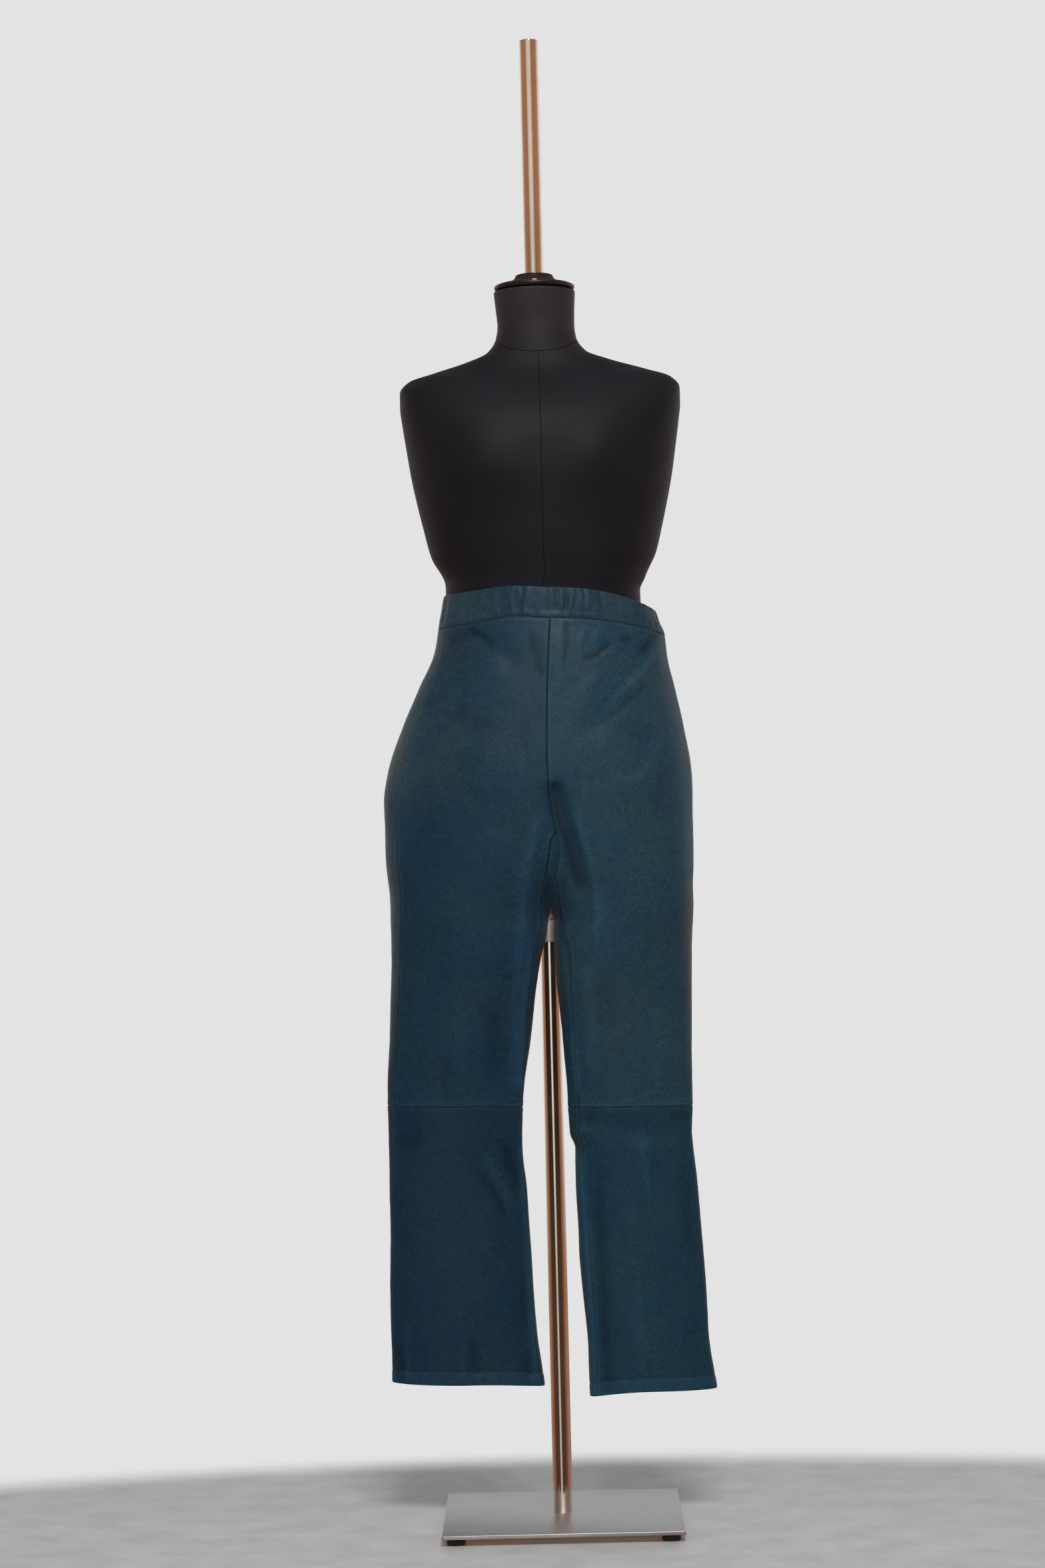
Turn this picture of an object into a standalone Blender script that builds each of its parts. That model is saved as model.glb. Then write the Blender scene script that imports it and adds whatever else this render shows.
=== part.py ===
# Leather pull-on trousers standing on a limbless dress form stand.
# Units are metres, +Z up; x = y = 0 is the stand's pole, z = 0 the floor, and the front faces -Y.
# "left" and "right" in the names are the wearer's, so the wearer's left leg is at +X.

import math
from collections import namedtuple

import bmesh
import bpy
import numpy as np

# Driving dimensions.
mm = 0.001

seam_gap = 0.3 * mm          # between two pieces at a seam, and between resting pieces
panel_wall = 1.5 * mm        # leather of the legs
hem_wall = 3.0 * mm          # the turned-up hem is two layers
band_wall = 2.4 * mm         # waistband with its elastic
hem_depth = 16 * mm          # hem edge to topstitch
hem_step = 2 * mm            # where the wall thickens under the topstitch

waist_level = 1180 * mm      # seam between waistband and legs, at the right side
band_top_level = 1222 * mm
crotch_level = 905 * mm      # where centre front and both inseams meet
cleft_back_level = 950 * mm  # where the seat starts to part into two legs
closing_level = 785 * mm     # below this the legs are two tubes
parting_levels = (881 * mm, 855 * mm, 833 * mm, 815 * mm, 801 * mm, 791 * mm)
throat_levels = (773 * mm,)

waist_rows = 7
thigh_rows = 6
shin_rows = 9
front_columns = 12
back_columns = 15
inseam_columns = 3
band_rows = 2
band_pleats = 23
pleat_depth = 1.4 * mm
band_lift = 0.5 * mm         # raises the waistband's lower edge off the legs' upper edge

pole_radius = 12.5 * mm
pole_top = 1955 * mm
bore_clearance = 0.3 * mm
plate_side = 310 * mm
plate_thickness = 5 * mm
plate_edge = 1 * mm
foot_radius = 12 * mm
foot_height = 8.7 * mm
foot_inset = 18 * mm

collar_radius = 16 * mm
collar_low = 761 * mm
collar_high = 790.5 * mm
socket_radius = 15 * mm
socket_flange_radius = 42 * mm
socket_flange = 4 * mm
screw_radius = 3.2 * mm
screw_height = 800 * mm
screw_stick_out = 3.5 * mm
form_low = 856 * mm
neck_top = 1619 * mm
round_segments = 48

eye_radius = 27.5 * mm       # how far the crotch's open seam stands from the pole's axis
leg_clearance = 17 * mm      # how far the legs stand from the pole's axis below the collar
eye_blend = 6 * mm
waist_rise = (-45 * mm, 38 * mm, 4.5 * mm)  # middle, width and height of a rise in the waist's front
sharpest_corner = 0.12       # limits how far a pointed corner is drawn back

# The two halves of the trousers.
# A half is one leg and its side of the seat. "out" and "inner" are distances from the pole's
# axis towards that side, "front" and "back" are depths, "round" is the power of the rounded
# section (2 is an ellipse), and "lean" is how far the inner edge is drawn forward.
Outline = namedtuple("Outline", "level out inner front back round lean")
# How far each side of a level's section is lifted from that level.
Tilt = namedtuple("Tilt", "level side front back inner")
# How far the side seam and the inseam lie inside the silhouette, on the front.
Seams = namedtuple("Seams", "level side inner")
# A broad fold: from one point to the other in the front view, pressed in by depth.
Fold = namedtuple("Fold", "x0 z0 x1 z1 width depth")

right_outline = [
    Outline(1222, 129, -10, 95.5, 91.5, 2.2, 0),
    Outline(1202, 132, -10, 98, 95, 2.2, 0),
    Outline(1180, 137, -10, 101, 99, 2.2, 0),
    Outline(1150, 142.5, -8, 106, 108, 2.2, 0),
    Outline(1100, 165, -5, 112, 120, 2.25, 0),
    Outline(1045, 189, -3, 117, 130, 2.3, 0),
    Outline(990, 208, -2, 120, 135, 2.3, 0),
    Outline(950, 214, -5, 119, 135, 2.3, 0),
    Outline(905, 213, -12, 117, 130, 2.3, 0),
    Outline(881, 213, -15, 112.5, 124, 2.3, 0),
    Outline(855, 212, -11, 107, 118, 2.3, 0),
    Outline(833, 210, -6, 102, 111, 2.3, 0),
    Outline(808, 209, -2.2, 96, 102, 2.3, 5),
    Outline(785, 209, 0.2, 90, 92, 2.3, 17),
    Outline(773, 208.5, 2, 86.5, 87, 2.3, 25),
    Outline(743, 209, 9.5, 78.5, 76, 2.2, 30),
    Outline(708, 210, 15, 69.5, 64, 2.2, 12),
    Outline(640, 213.5, 27.5, 54, 48, 2.1, 0),
    Outline(552, 218, 40, 34, 32, 2.0, 0),
    Outline(500, 218.5, 41.5, 31, 29, 2.0, 0),
    Outline(440, 218, 37, 30, 29, 2.0, 0),
    Outline(340, 219, 33, 30, 30, 2.0, 0),
    Outline(265, 221, 28, 31, 31, 2.0, 0),
    Outline(186, 220.5, 18, 32, 32, 2.0, 0),
]
left_outline = [
    Outline(1222, 150, 10, 95.5, 91.5, 2.2, 0),
    Outline(1202, 154, 10, 98, 95, 2.2, 0),
    Outline(1180, 161, 10, 101, 99, 2.2, 0),
    Outline(1150, 164, 8, 106, 108, 2.2, 0),
    Outline(1100, 174, 5, 112, 120, 2.25, 0),
    Outline(1045, 184.5, 3, 117, 130, 2.3, 0),
    Outline(990, 191.5, 2, 120, 135, 2.3, 0),
    Outline(950, 193, 5, 119, 135, 2.3, 0),
    Outline(905, 193, 12, 117, 130, 2.3, 0),
    Outline(881, 192.5, 15, 112.5, 124, 2.3, 0),
    Outline(855, 191.5, 11, 107, 118, 2.3, 0),
    Outline(833, 190, 6, 102, 111, 2.3, 0),
    Outline(808, 190, 2.4, 96, 102, 2.3, 5),
    Outline(785, 189, 3, 90, 92, 2.3, 17),
    Outline(773, 188, 3.6, 86.5, 87, 2.3, 26),
    Outline(743, 186.5, 5.8, 78.5, 76, 2.2, 34),
    Outline(708, 185, 7, 69.5, 64, 2.2, 30),
    Outline(672, 184.5, 9, 61.5, 56, 2.1, 14),
    Outline(640, 184, 11.5, 54, 48, 2.1, 8),
    Outline(546, 182.5, 14.5, 34, 32, 2.0, 0),
    Outline(509, 181, 18, 31, 29, 2.0, 0),
    Outline(490, 182, 26, 31, 29, 2.0, 0),
    Outline(440, 186, 26, 30, 29, 2.0, 0),
    Outline(372, 191, 28, 30, 29, 2.0, 0),
    Outline(300, 194.5, 32, 30, 30, 2.0, 0),
    Outline(235, 197.5, 37, 31, 31, 2.0, 0),
    Outline(170, 205, 39, 32, 32, 2.0, 0),
]
right_tilt = [
    Tilt(1222, -3, -1, 19, 0),
    Tilt(1180, -5, 0.5, 20, 0),
    Tilt(905, 0, 0, 0, 0),
    Tilt(548, 3, 0, -1, -3),
    Tilt(186, 2.5, -0.5, -7, -6.5),
]
left_tilt = [
    Tilt(1222, -29, -1, 19, 0),
    Tilt(1180, -19, 0.5, 20, 0),
    Tilt(905, 0, 0, 0, 0),
    Tilt(543, -1.5, 0, -1, 0.5),
    Tilt(170, 1.5, 2, -7, -6),
]
right_seams = [
    Seams(1180, 12, 0),
    Seams(1000, 20, 0),
    Seams(905, 19, 0),
    Seams(881, 19, 15.5),
    Seams(808, 17, 14),
    Seams(743, 14, 12),
    Seams(552, 10, 2.5),
    Seams(455, 8, 3),
    Seams(304, 6, 7),
    Seams(186, 6, 13),
]
left_seams = [
    Seams(1180, 3, 0),
    Seams(905, 4.5, 0),
    Seams(881, 4, 6),
    Seams(855, 3, 8),
    Seams(833, 2, 11),
    Seams(808, 1, 15),
    Seams(742, 0.5, 20),
    Seams(601, 0.5, 17),
    Seams(546, 0.5, 19),
    Seams(477, 0.5, 11),
    Seams(354, 0.5, 14),
    Seams(170, 0.5, 9),
]
folds = [
    Fold(12, 955, 52, 834, 13, 6),        # hollow beside the crotch, towards the left thigh
    Fold(-88, 1168, -44, 1128, 16, 3),    # under the waistband, right front
    Fold(148, 1138, 62, 1038, 18, 3.5),   # from the left hip towards the centre front
    Fold(-92, 476, -38, 408, 22, 3),      # soft trough below the right knee
    Fold(60, 517, 150, 505, 16, 3),       # pinch below the left knee
]

Half = namedtuple("Half", "name sign outline tilt seams knee hem")
halves = (
    Half("right", -1, right_outline, right_tilt, right_seams, 548 * mm, 186 * mm),
    Half("left", 1, left_outline, left_tilt, left_seams, 543 * mm, 170 * mm),
)

# The form.
# Half width, the two depths and the sideways shift of the form's rounded section at each height.
Ring = namedtuple("Ring", "z half front back round shift")
form_rings = [
    Ring(856, 138, 66, 68, 2.3, 0),
    Ring(862, 150, 77, 81, 2.3, 0),
    Ring(880, 158, 86, 92, 2.3, 0),
    Ring(917, 166, 94, 106, 2.3, 0),
    Ring(960, 171, 100, 118, 2.25, 0),
    Ring(1010, 171, 103, 120, 2.2, 0),
    Ring(1060, 164, 102, 112, 2.15, 0),
    Ring(1100, 154, 100, 104, 2.1, 1),
    Ring(1140, 139, 97, 97, 2.1, 2),
    Ring(1180, 130, 93, 91, 2.1, 2),
    Ring(1222, 128, 90, 85, 2.1, 2),
    Ring(1240, 132.5, 92, 84, 2.05, 5),
    Ring(1271, 148, 97, 86, 2.1, 4),
    Ring(1306, 157, 102, 90, 2.1, 4),
    Ring(1341, 165, 106, 94, 2.1, 4),
    Ring(1376, 172, 108, 98, 2.15, 4),
    Ring(1412, 177.5, 107, 101, 2.2, 4),
    Ring(1447, 182.5, 100, 100, 2.3, 4),
    Ring(1470, 185, 88, 94, 2.4, 4),
    Ring(1489, 185, 74, 82, 2.5, 4),
    Ring(1503, 174, 63, 72, 2.3, 4),
    Ring(1514, 142, 56, 64, 2.0, 4),
    Ring(1527, 98, 51, 57, 2.0, 3),
    Ring(1540, 66, 49, 52, 2.0, 1),
    Ring(1560, 54, 48, 50, 2.0, 0),
    Ring(1619, 51, 48, 49, 2.0, 0),
]
form_segments = 44
bust_centre = (82, 1392)
bust_spread = (52, 46)
bust_depth = 13

# Radius and height down the outside of the neck cap, from its top edge.
Turn = namedtuple("Turn", "radius z")
cap_profile = [
    Turn(21, 1643),
    Turn(23, 1642),
    Turn(23.6, 1638),
    Turn(26, 1635),
    Turn(32, 1632.6),
    Turn(40, 1631.2),
    Turn(48, 1630.2),
    Turn(52, 1629.2),
    Turn(53, 1627.5),
    Turn(53, 1622),
    Turn(51.5, 1620),
]

Finish = namedtuple("Finish", "colour roughness metallic")
finishes = {
    "leather": Finish((0.016, 0.045, 0.070), 0.55, 0.0),
    "jersey": Finish((0.008, 0.007, 0.008), 0.90, 0.0),
    "cap": Finish((0.018, 0.008, 0.006), 0.25, 0.0),
    "polished_steel": Finish((0.62, 0.60, 0.58), 0.12, 1.0),
    "light_metal": Finish((0.85, 0.86, 0.88), 0.30, 1.0),
    "brushed_steel": Finish((0.42, 0.42, 0.43), 0.38, 1.0),
    "rubber": Finish((0.02, 0.02, 0.02), 0.85, 0.0),
}


# Scene, materials, objects.
def clear_scene():
    for obj in list(bpy.data.objects):
        bpy.data.objects.remove(obj, do_unlink=True)


def make_collection(name):
    collection = bpy.data.collections.new(name)
    bpy.context.scene.collection.children.link(collection)
    return collection


def make_material(name, finish):
    material = bpy.data.materials.new(name)
    material.use_nodes = True
    shader = material.node_tree.nodes["Principled BSDF"]
    shader.inputs["Base Color"].default_value = (*finish.colour, 1.0)
    shader.inputs["Roughness"].default_value = finish.roughness
    shader.inputs["Metallic"].default_value = finish.metallic
    return material


def add_object(name, mesh, finish, place=(0, 0, 0)):
    obj = bpy.data.objects.new(name, mesh)
    obj.location = place
    mesh.materials.clear()
    mesh.materials.append(materials[finish])
    parts.objects.link(obj)
    return obj


def shade_round(mesh):
    mesh.shade_smooth()
    mesh.set_sharp_from_angle(angle=math.radians(35))


def mesh_from_bmesh(name, shape):
    bmesh.ops.recalc_face_normals(shape, faces=shape.faces)
    mesh = bpy.data.meshes.new(name)
    shape.to_mesh(mesh)
    shape.free()
    return mesh


def cylinder_mesh(name, radius, low, high, segments=round_segments):
    shape = bmesh.new()
    bmesh.ops.create_cone(
        shape,
        cap_ends=True,
        segments=segments,
        radius1=radius,
        radius2=radius,
        depth=high - low,
    )
    bmesh.ops.translate(shape, verts=shape.verts, vec=(0, 0, (low + high) / 2))
    mesh = mesh_from_bmesh(name, shape)
    shade_round(mesh)
    return mesh


def add_turned(name, profile, finish, segments=round_segments):
    """A closed profile of (radius, z), down its outer side first, turned about the pole's axis."""
    shape = bmesh.new()
    corners = [shape.verts.new((radius, 0, z)) for radius, z in profile]
    for corner, following in zip(corners, corners[1:] + corners[:1]):
        shape.edges.new((corner, following))
    mesh = bpy.data.meshes.new(name)
    shape.to_mesh(mesh)
    shape.free()
    obj = add_object(name, mesh, finish)
    turn = obj.modifiers.new("Turn", "SCREW")
    turn.axis = "Z"
    turn.angle = math.tau
    turn.steps = segments
    turn.render_steps = segments
    turn.use_merge_vertices = True
    turn.merge_threshold = 0.0001
    turn.use_smooth_shade = True
    return obj


# The trousers' surface.
def through_table(rows, column, levels):
    """A smooth curve through one column of a table, with no overshoot between its rows."""
    known = np.array([row.level for row in rows], float)[::-1] * mm
    values = np.array([getattr(row, column) for row in rows], float)[::-1]
    steps = np.diff(known)
    slopes = np.diff(values) / steps
    tangents = np.zeros(len(values))
    tangents[0] = slopes[0]
    tangents[-1] = slopes[-1]
    for index in range(1, len(slopes)):
        before, after = slopes[index - 1], slopes[index]
        if before * after > 0:
            tangents[index] = 2 * before * after / (before + after)
    levels = np.clip(levels, known[0], known[-1])
    index = np.clip(np.searchsorted(known, levels) - 1, 0, len(steps) - 1)
    step = steps[index]
    along = (levels - known[index]) / step
    return (
        values[index] * (1 + 2 * along) * (1 - along) ** 2
        + values[index + 1] * along**2 * (3 - 2 * along)
        + step * tangents[index] * along * (1 - along) ** 2
        - step * tangents[index + 1] * along**2 * (1 - along)
    )


def tilt_of(rows, column, level):
    known = [row.level * mm for row in reversed(rows)]
    return np.interp(level, known, [getattr(row, column) * mm for row in reversed(rows)])


def rounded(wave, power):
    return np.sign(wave) * np.abs(wave) ** (2 / power)


def cleft_angle(level, start):
    """Where a half's section ends: 90 degrees at the centre line, 180 where the leg is closed."""
    share = np.clip((start - level) / (start - closing_level), 0, 1)
    return 90 + 90 * share**2


def larger(first, second, blend):
    return (first + second + np.sqrt((first - second) ** 2 + blend**2)) / 2


def inset_angle(section, inset, edge):
    """The angle of a point that lies inset from the section's outer (edge 1) or inner edge."""
    wave = 1 - inset / section["half"] if edge > 0 else section["end"] + inset / section["half"]
    wave = float(np.clip(wave, -1, 1))
    cosine = math.copysign(abs(wave) ** (section["round"] / 2), wave)
    return math.degrees(math.acos(cosine))


def section_at(half, level):
    """The section's measures at one level, for its front and its back arc."""
    reading = {}
    for column in ("out", "inner", "front", "back", "lean"):
        reading[column] = float(through_table(half.outline, column, level)) * mm
    reading["round"] = float(through_table(half.outline, "round", level))
    arcs = {}
    for name, start in (("front", crotch_level + 13 * mm), ("back", cleft_back_level)):
        angle = float(cleft_angle(level, start))
        end = float(rounded(np.cos(np.radians(angle)), reading["round"]))
        half_width = (reading["out"] - reading["inner"]) / (1 - end)
        arcs[name] = {
            "angle": angle,
            "end": end,
            "half": half_width,
            "middle": reading["out"] - half_width,
            "depth": reading[name],
            "round": reading["round"],
        }
    return reading, arcs


def fold_depth(x, z):
    total = np.zeros_like(x)
    for fold in folds:
        start = np.array([fold.x0, fold.z0]) * mm
        run = np.array([fold.x1, fold.z1]) * mm - start
        length = np.hypot(*run)
        along = ((x - start[0]) * run[0] + (z - start[1]) * run[1]) / length**2
        beyond = np.maximum(0, np.abs(along - 0.5) - 0.5) * length
        across = ((x - start[0]) * run[1] - (z - start[1]) * run[0]) / length
        distance = np.hypot(across, beyond) / (fold.width * mm)
        total += fold.depth * mm * np.exp(-(distance**2))
    return total


def surface_row(half, level, angles):
    """Points of one row, from the inner front round the outside to the inner back."""
    reading, arcs = section_at(half, level)
    angles = np.asarray(angles, float)
    turned = np.radians(angles)
    is_front = angles < 0
    middle = np.where(is_front, arcs["front"]["middle"], arcs["back"]["middle"])
    half_width = np.where(is_front, arcs["front"]["half"], arcs["back"]["half"])
    depth = np.where(is_front, reading["front"], reading["back"])
    out = middle + half_width * rounded(np.cos(turned), reading["round"])
    y = depth * rounded(np.sin(turned), reading["round"])
    inward = (reading["out"] - out) / (reading["out"] - reading["inner"])
    y = y - reading["lean"] * inward**2
    clearance = eye_radius if level > collar_low else leg_clearance
    eye = clearance * (1 - (y / (1.25 * clearance)) ** 2)
    out = larger(out, eye, eye_blend)
    facing = np.sin(turned) ** 2
    side = np.where(np.abs(angles) < 90, tilt_of(half.tilt, "side", level), tilt_of(half.tilt, "inner", level))
    centre = np.where(is_front, tilt_of(half.tilt, "front", level), tilt_of(half.tilt, "back", level))
    z = level + facing * centre + (1 - facing) * side
    x = half.sign * out
    middle, width, height = waist_rise
    near_waist = np.clip((level - 1100 * mm) / (waist_level - 1100 * mm), 0, 1)
    z += np.where(is_front, facing * near_waist * height * np.exp(-(((x - middle) / width) ** 2)), 0)
    y = np.where(is_front, y + fold_depth(x, z) * facing, y)
    return np.stack([x, y, z], axis=1)


def row_levels(half):
    """Levels of the rows, the number of columns before the inseam, and the wall at each."""
    stitch = half.hem + hem_depth
    levels = list(np.linspace(waist_level, crotch_level, waist_rows + 1))
    levels += [*parting_levels, closing_level]
    levels += throat_levels
    levels += list(np.linspace(throat_levels[-1], half.knee, thigh_rows + 1))[1:]
    knee_row = len(levels) - 1
    levels += list(np.linspace(half.knee, stitch, shin_rows + 1))[1:]
    levels += [stitch - hem_step, half.hem]
    inseam = [min(max(row - waist_rows, 0), inseam_columns) for row in range(len(levels))]
    walls = [panel_wall] * (len(levels) - 2) + [hem_wall] * 2
    return levels, inseam, walls, knee_row


def column_angles(half, level, inseam):
    """The row's angles: before the inseam, the front panel, then the back panel."""
    _, arcs = section_at(half, level)
    side_inset = float(through_table(half.seams, "side", level)) * mm
    inner_inset = float(through_table(half.seams, "inner", level)) * mm
    side = -inset_angle(arcs["front"], side_inset, 1)
    inner = -inset_angle(arcs["front"], inner_inset, -1) if inseam else -arcs["front"]["angle"]
    wrap = np.linspace(-arcs["front"]["angle"], inner, inseam + 1)[:-1]
    front = np.linspace(inner, side, front_columns + 1 - inseam)[:-1]
    back = np.linspace(side, arcs["back"]["angle"], back_columns + 1)
    return np.concatenate([wrap, front, back])


def mean_direction(points, axis):
    """At each point, the mean of the directions of the steps before and after it."""
    steps = np.diff(points, axis=axis)
    steps /= np.maximum(np.linalg.norm(steps, axis=2, keepdims=True), 1e-9)
    first = np.take(steps, [0], axis=axis)
    last = np.take(steps, [-1], axis=axis)
    return np.concatenate([first, steps], axis=axis) + np.concatenate([steps, last], axis=axis)


def outward_normals(points, closed_rows, sign):
    """Normals of the whole half, so that two panels agree along their seam.

    Along the centre seams they never lean away from the other half, whose wall lies beside them.
    """
    across = mean_direction(points, 1)
    for row in closed_rows:
        step_in = points[row, 1] - points[row, 0]
        step_out = points[row, -1] - points[row, -2]
        across[row, 0] = step_in / np.linalg.norm(step_in) + step_out / np.linalg.norm(step_out)
        across[row, -1] = across[row, 0]
    normals = np.cross(across, mean_direction(points, 0)) * -sign
    for row in range(closed_rows[0]):
        for end in (0, -1):
            normals[row, end, 0] = sign * min(sign * normals[row, end, 0], 0)
    lengths = np.linalg.norm(normals, axis=2, keepdims=True)
    return normals / np.maximum(lengths, 1e-9)


def half_surface(half):
    levels, inseam, walls, knee_row = row_levels(half)
    rows = [
        surface_row(half, level, column_angles(half, level, count))
        for level, count in zip(levels, inseam)
    ]
    points = np.array(rows)
    closed_rows = [row for row, level in enumerate(levels) if level <= closing_level + 1e-9]
    return {
        "points": points,
        "normals": outward_normals(points, closed_rows, half.sign),
        "closed": closed_rows[0],
        "inseam": inseam,
        "walls": walls,
        "knee": knee_row,
    }


def split_cell(row, column):
    """Both triangles of a cell: the one above its diagonal and the one below."""
    above = ((row, column), (row, column + 1), (row + 1, column + 1))
    below = ((row, column), (row + 1, column + 1), (row + 1, column))
    return above, below


def panel_triangles(surface, is_front, is_upper):
    """The half's triangles that are cut as one panel."""
    inseam = surface["inseam"]
    last_column = surface["points"].shape[1] - 1
    rows = range(surface["knee"]) if is_upper else range(surface["knee"], len(inseam) - 1)
    chosen = []
    for row in rows:
        for column in range(last_column):
            above, below = split_cell(row, column)
            above_front = inseam[row] <= column < front_columns
            below_front = inseam[row + 1] <= column < front_columns
            if above_front == is_front:
                chosen.append(above)
            if below_front == is_front:
                chosen.append(below)
    closed = surface["closed"]

    def joined(place):
        row, column = place
        return (row, 0) if row >= closed and column == last_column else place

    return [tuple(joined(place) for place in triangle) for triangle in chosen]


# Cloth pieces with a wall.
def pulled_in(points, triangles, normals, distance):
    """Each edge point of an open piece moved inwards, so that it keeps its gap to its neighbour."""
    edges = {}
    for first, second, third in triangles:
        for start, end in ((first, second), (second, third), (third, first)):
            edges[(start, end)] = True
    rim = [edge for edge in edges if (edge[1], edge[0]) not in edges]
    inward = {}
    for start, end in rim:
        run = points[end] - points[start]
        for place in (start, end):
            side = np.cross(normals[place], run)
            inward.setdefault(place, []).append(side / np.linalg.norm(side))
    moved = dict(points)
    for place, sides in inward.items():
        total = sum(sides)
        share = 1 + float(np.dot(sides[0], sides[-1]))
        moved[place] = points[place] + total * distance / max(share, sharpest_corner)
    return moved, rim


def add_cloth(name, points, normals, walls, triangles, finish="leather"):
    """A closed piece: the outer face, the same face moved in by the wall, and its cut edges."""
    a, b, c = triangles[len(triangles) // 2]
    facing = np.cross(points[b] - points[a], points[c] - points[a])
    if np.dot(facing, normals[a]) < 0:
        triangles = [(first, third, second) for first, second, third in triangles]
    outer, rim = pulled_in(points, triangles, normals, seam_gap / 2)
    shape = bmesh.new()
    places = sorted({place for triangle in triangles for place in triangle})
    outside = {place: shape.verts.new(outer[place]) for place in places}
    inside = {}
    for place in places:
        inside[place] = shape.verts.new(outer[place] - normals[place] * walls[place])
    for first, second, third in triangles:
        shape.faces.new((outside[first], outside[second], outside[third]))
        shape.faces.new((inside[third], inside[second], inside[first]))
    # both sides of a seam split their edge faces along the same diagonal
    for start, end in rim:
        if start < end:
            shape.faces.new((outside[end], outside[start], inside[start]))
            shape.faces.new((outside[end], inside[start], inside[end]))
        else:
            shape.faces.new((outside[end], outside[start], inside[end]))
            shape.faces.new((outside[start], inside[start], inside[end]))
    mesh = bpy.data.meshes.new(name)
    shape.to_mesh(mesh)
    shape.free()
    shade_round(mesh)
    return add_object(name, mesh, finish)


def add_leg_panels(half):
    surface = half_surface(half)
    rows, columns = surface["points"].shape[:2]
    places = [(row, column) for row in range(rows) for column in range(columns)]
    points = {place: surface["points"][place] for place in places}
    normals = {place: surface["normals"][place] for place in places}
    walls = {place: surface["walls"][place[0]] for place in places}
    for face, is_front in (("front", True), ("back", False)):
        for reach, is_upper in (("thigh", True), ("shin", False)):
            triangles = panel_triangles(surface, is_front, is_upper)
            add_cloth(f"{half.name}_{face}_{reach}", points, normals, walls, triangles)


def pleat_height(angle, share):
    """The waistband's gathers: uneven ripples that fade out at the seam below."""
    ripple = 0.5 + 0.5 * math.sin(band_pleats * angle + 1.7 * math.sin(3 * angle))
    return pleat_depth * ripple * math.sin(angle) ** 2 * min(1, 2.2 * share)


def band_rim(share, is_front):
    """One row of the waistband, from the wearer's right side to the left side."""
    level = waist_level + share * (band_top_level - waist_level)
    sides = []
    for half in halves:
        angles = column_angles(half, waist_level, 0)
        angles = angles[front_columns::-1] if is_front else angles[front_columns:]
        sides.append(surface_row(half, level, angles))
    right_side, left_side = sides
    points = np.concatenate([right_side, left_side[-2::-1]])
    points[:, 2] += band_lift * (1 - share)
    return points


def add_waistband():
    for name, is_front in (("waistband_front", True), ("waistband_back", False)):
        points = np.array([band_rim(1 - row / band_rows, is_front) for row in range(band_rows + 1)])
        normals = np.cross(mean_direction(points, 1), mean_direction(points, 0))
        normals /= np.linalg.norm(normals, axis=2, keepdims=True)
        columns = points.shape[1] - 1
        if normals[0, columns // 2, 1] * (-1 if is_front else 1) < 0:
            normals = -normals
        # at the side seams both pieces share one normal, straight out
        normals[:, 0] = (-1, 0, 0)
        normals[:, -1] = (1, 0, 0)
        places = [(row, column) for row in range(band_rows + 1) for column in range(columns + 1)]
        lifted = {}
        for row, column in places:
            angle = math.pi * column / columns * (1 if is_front else -1)
            height = pleat_height(angle, 1 - row / band_rows)
            lifted[(row, column)] = points[row, column] + normals[row, column] * height
        triangles = []
        for row in range(band_rows):
            for column in range(columns):
                triangles.extend(split_cell(row, column))
        walls = {place: band_wall for place in places}
        add_cloth(name, lifted, {place: normals[place] for place in places}, walls, triangles)


# The form and its stand.
def bust_height(x, z):
    across = (abs(x) - bust_centre[0] * mm) / (bust_spread[0] * mm)
    up = (z - bust_centre[1] * mm) / (bust_spread[1] * mm)
    return bust_depth * mm * math.exp(-(across**2) - up**2)


def add_form():
    """The torso: a loft through its rings, closed above and below, bored for the pole."""
    shape = bmesh.new()
    loops = []
    for ring in form_rings:
        loop = []
        for step in range(form_segments):
            angle = math.tau * step / form_segments
            x = (ring.shift + ring.half * float(rounded(math.cos(angle), ring.round))) * mm
            depth = ring.front if math.sin(angle) < 0 else ring.back
            y = depth * mm * float(rounded(math.sin(angle), ring.round))
            if y < 0:
                y -= bust_height(x, ring.z * mm) * math.sin(angle) ** 2
            loop.append(shape.verts.new((x, y, ring.z * mm)))
        loops.append(loop)
    for lower, upper in zip(loops, loops[1:]):
        for step in range(form_segments):
            following = (step + 1) % form_segments
            shape.faces.new((lower[step], lower[following], upper[following], upper[step]))
    shape.faces.new(reversed(loops[0]))
    shape.faces.new(loops[-1])
    form = add_object("form_torso", mesh_from_bmesh("form_torso", shape), "jersey")
    shade_round(form.data)
    bore = bpy.data.objects.new(
        "pole_bore",
        cylinder_mesh("pole_bore", pole_radius + bore_clearance, form_low - 0.05, neck_top + 0.05),
    )
    bore.hide_render = True
    bore.display_type = "WIRE"
    cutters.objects.link(bore)
    cut = form.modifiers.new("Bore", "BOOLEAN")
    cut.object = bore
    cut.operation = "DIFFERENCE"
    cut.solver = "EXACT"


def add_neck_cap():
    bore = pole_radius + bore_clearance
    outside = [(turn.radius * mm, turn.z * mm) for turn in cap_profile]
    low = neck_top + seam_gap
    outside[-1] = (outside[-1][0], low)
    add_turned("neck_cap", [*outside, (bore, low), (bore, cap_profile[0].z * mm)], "cap")


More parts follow.
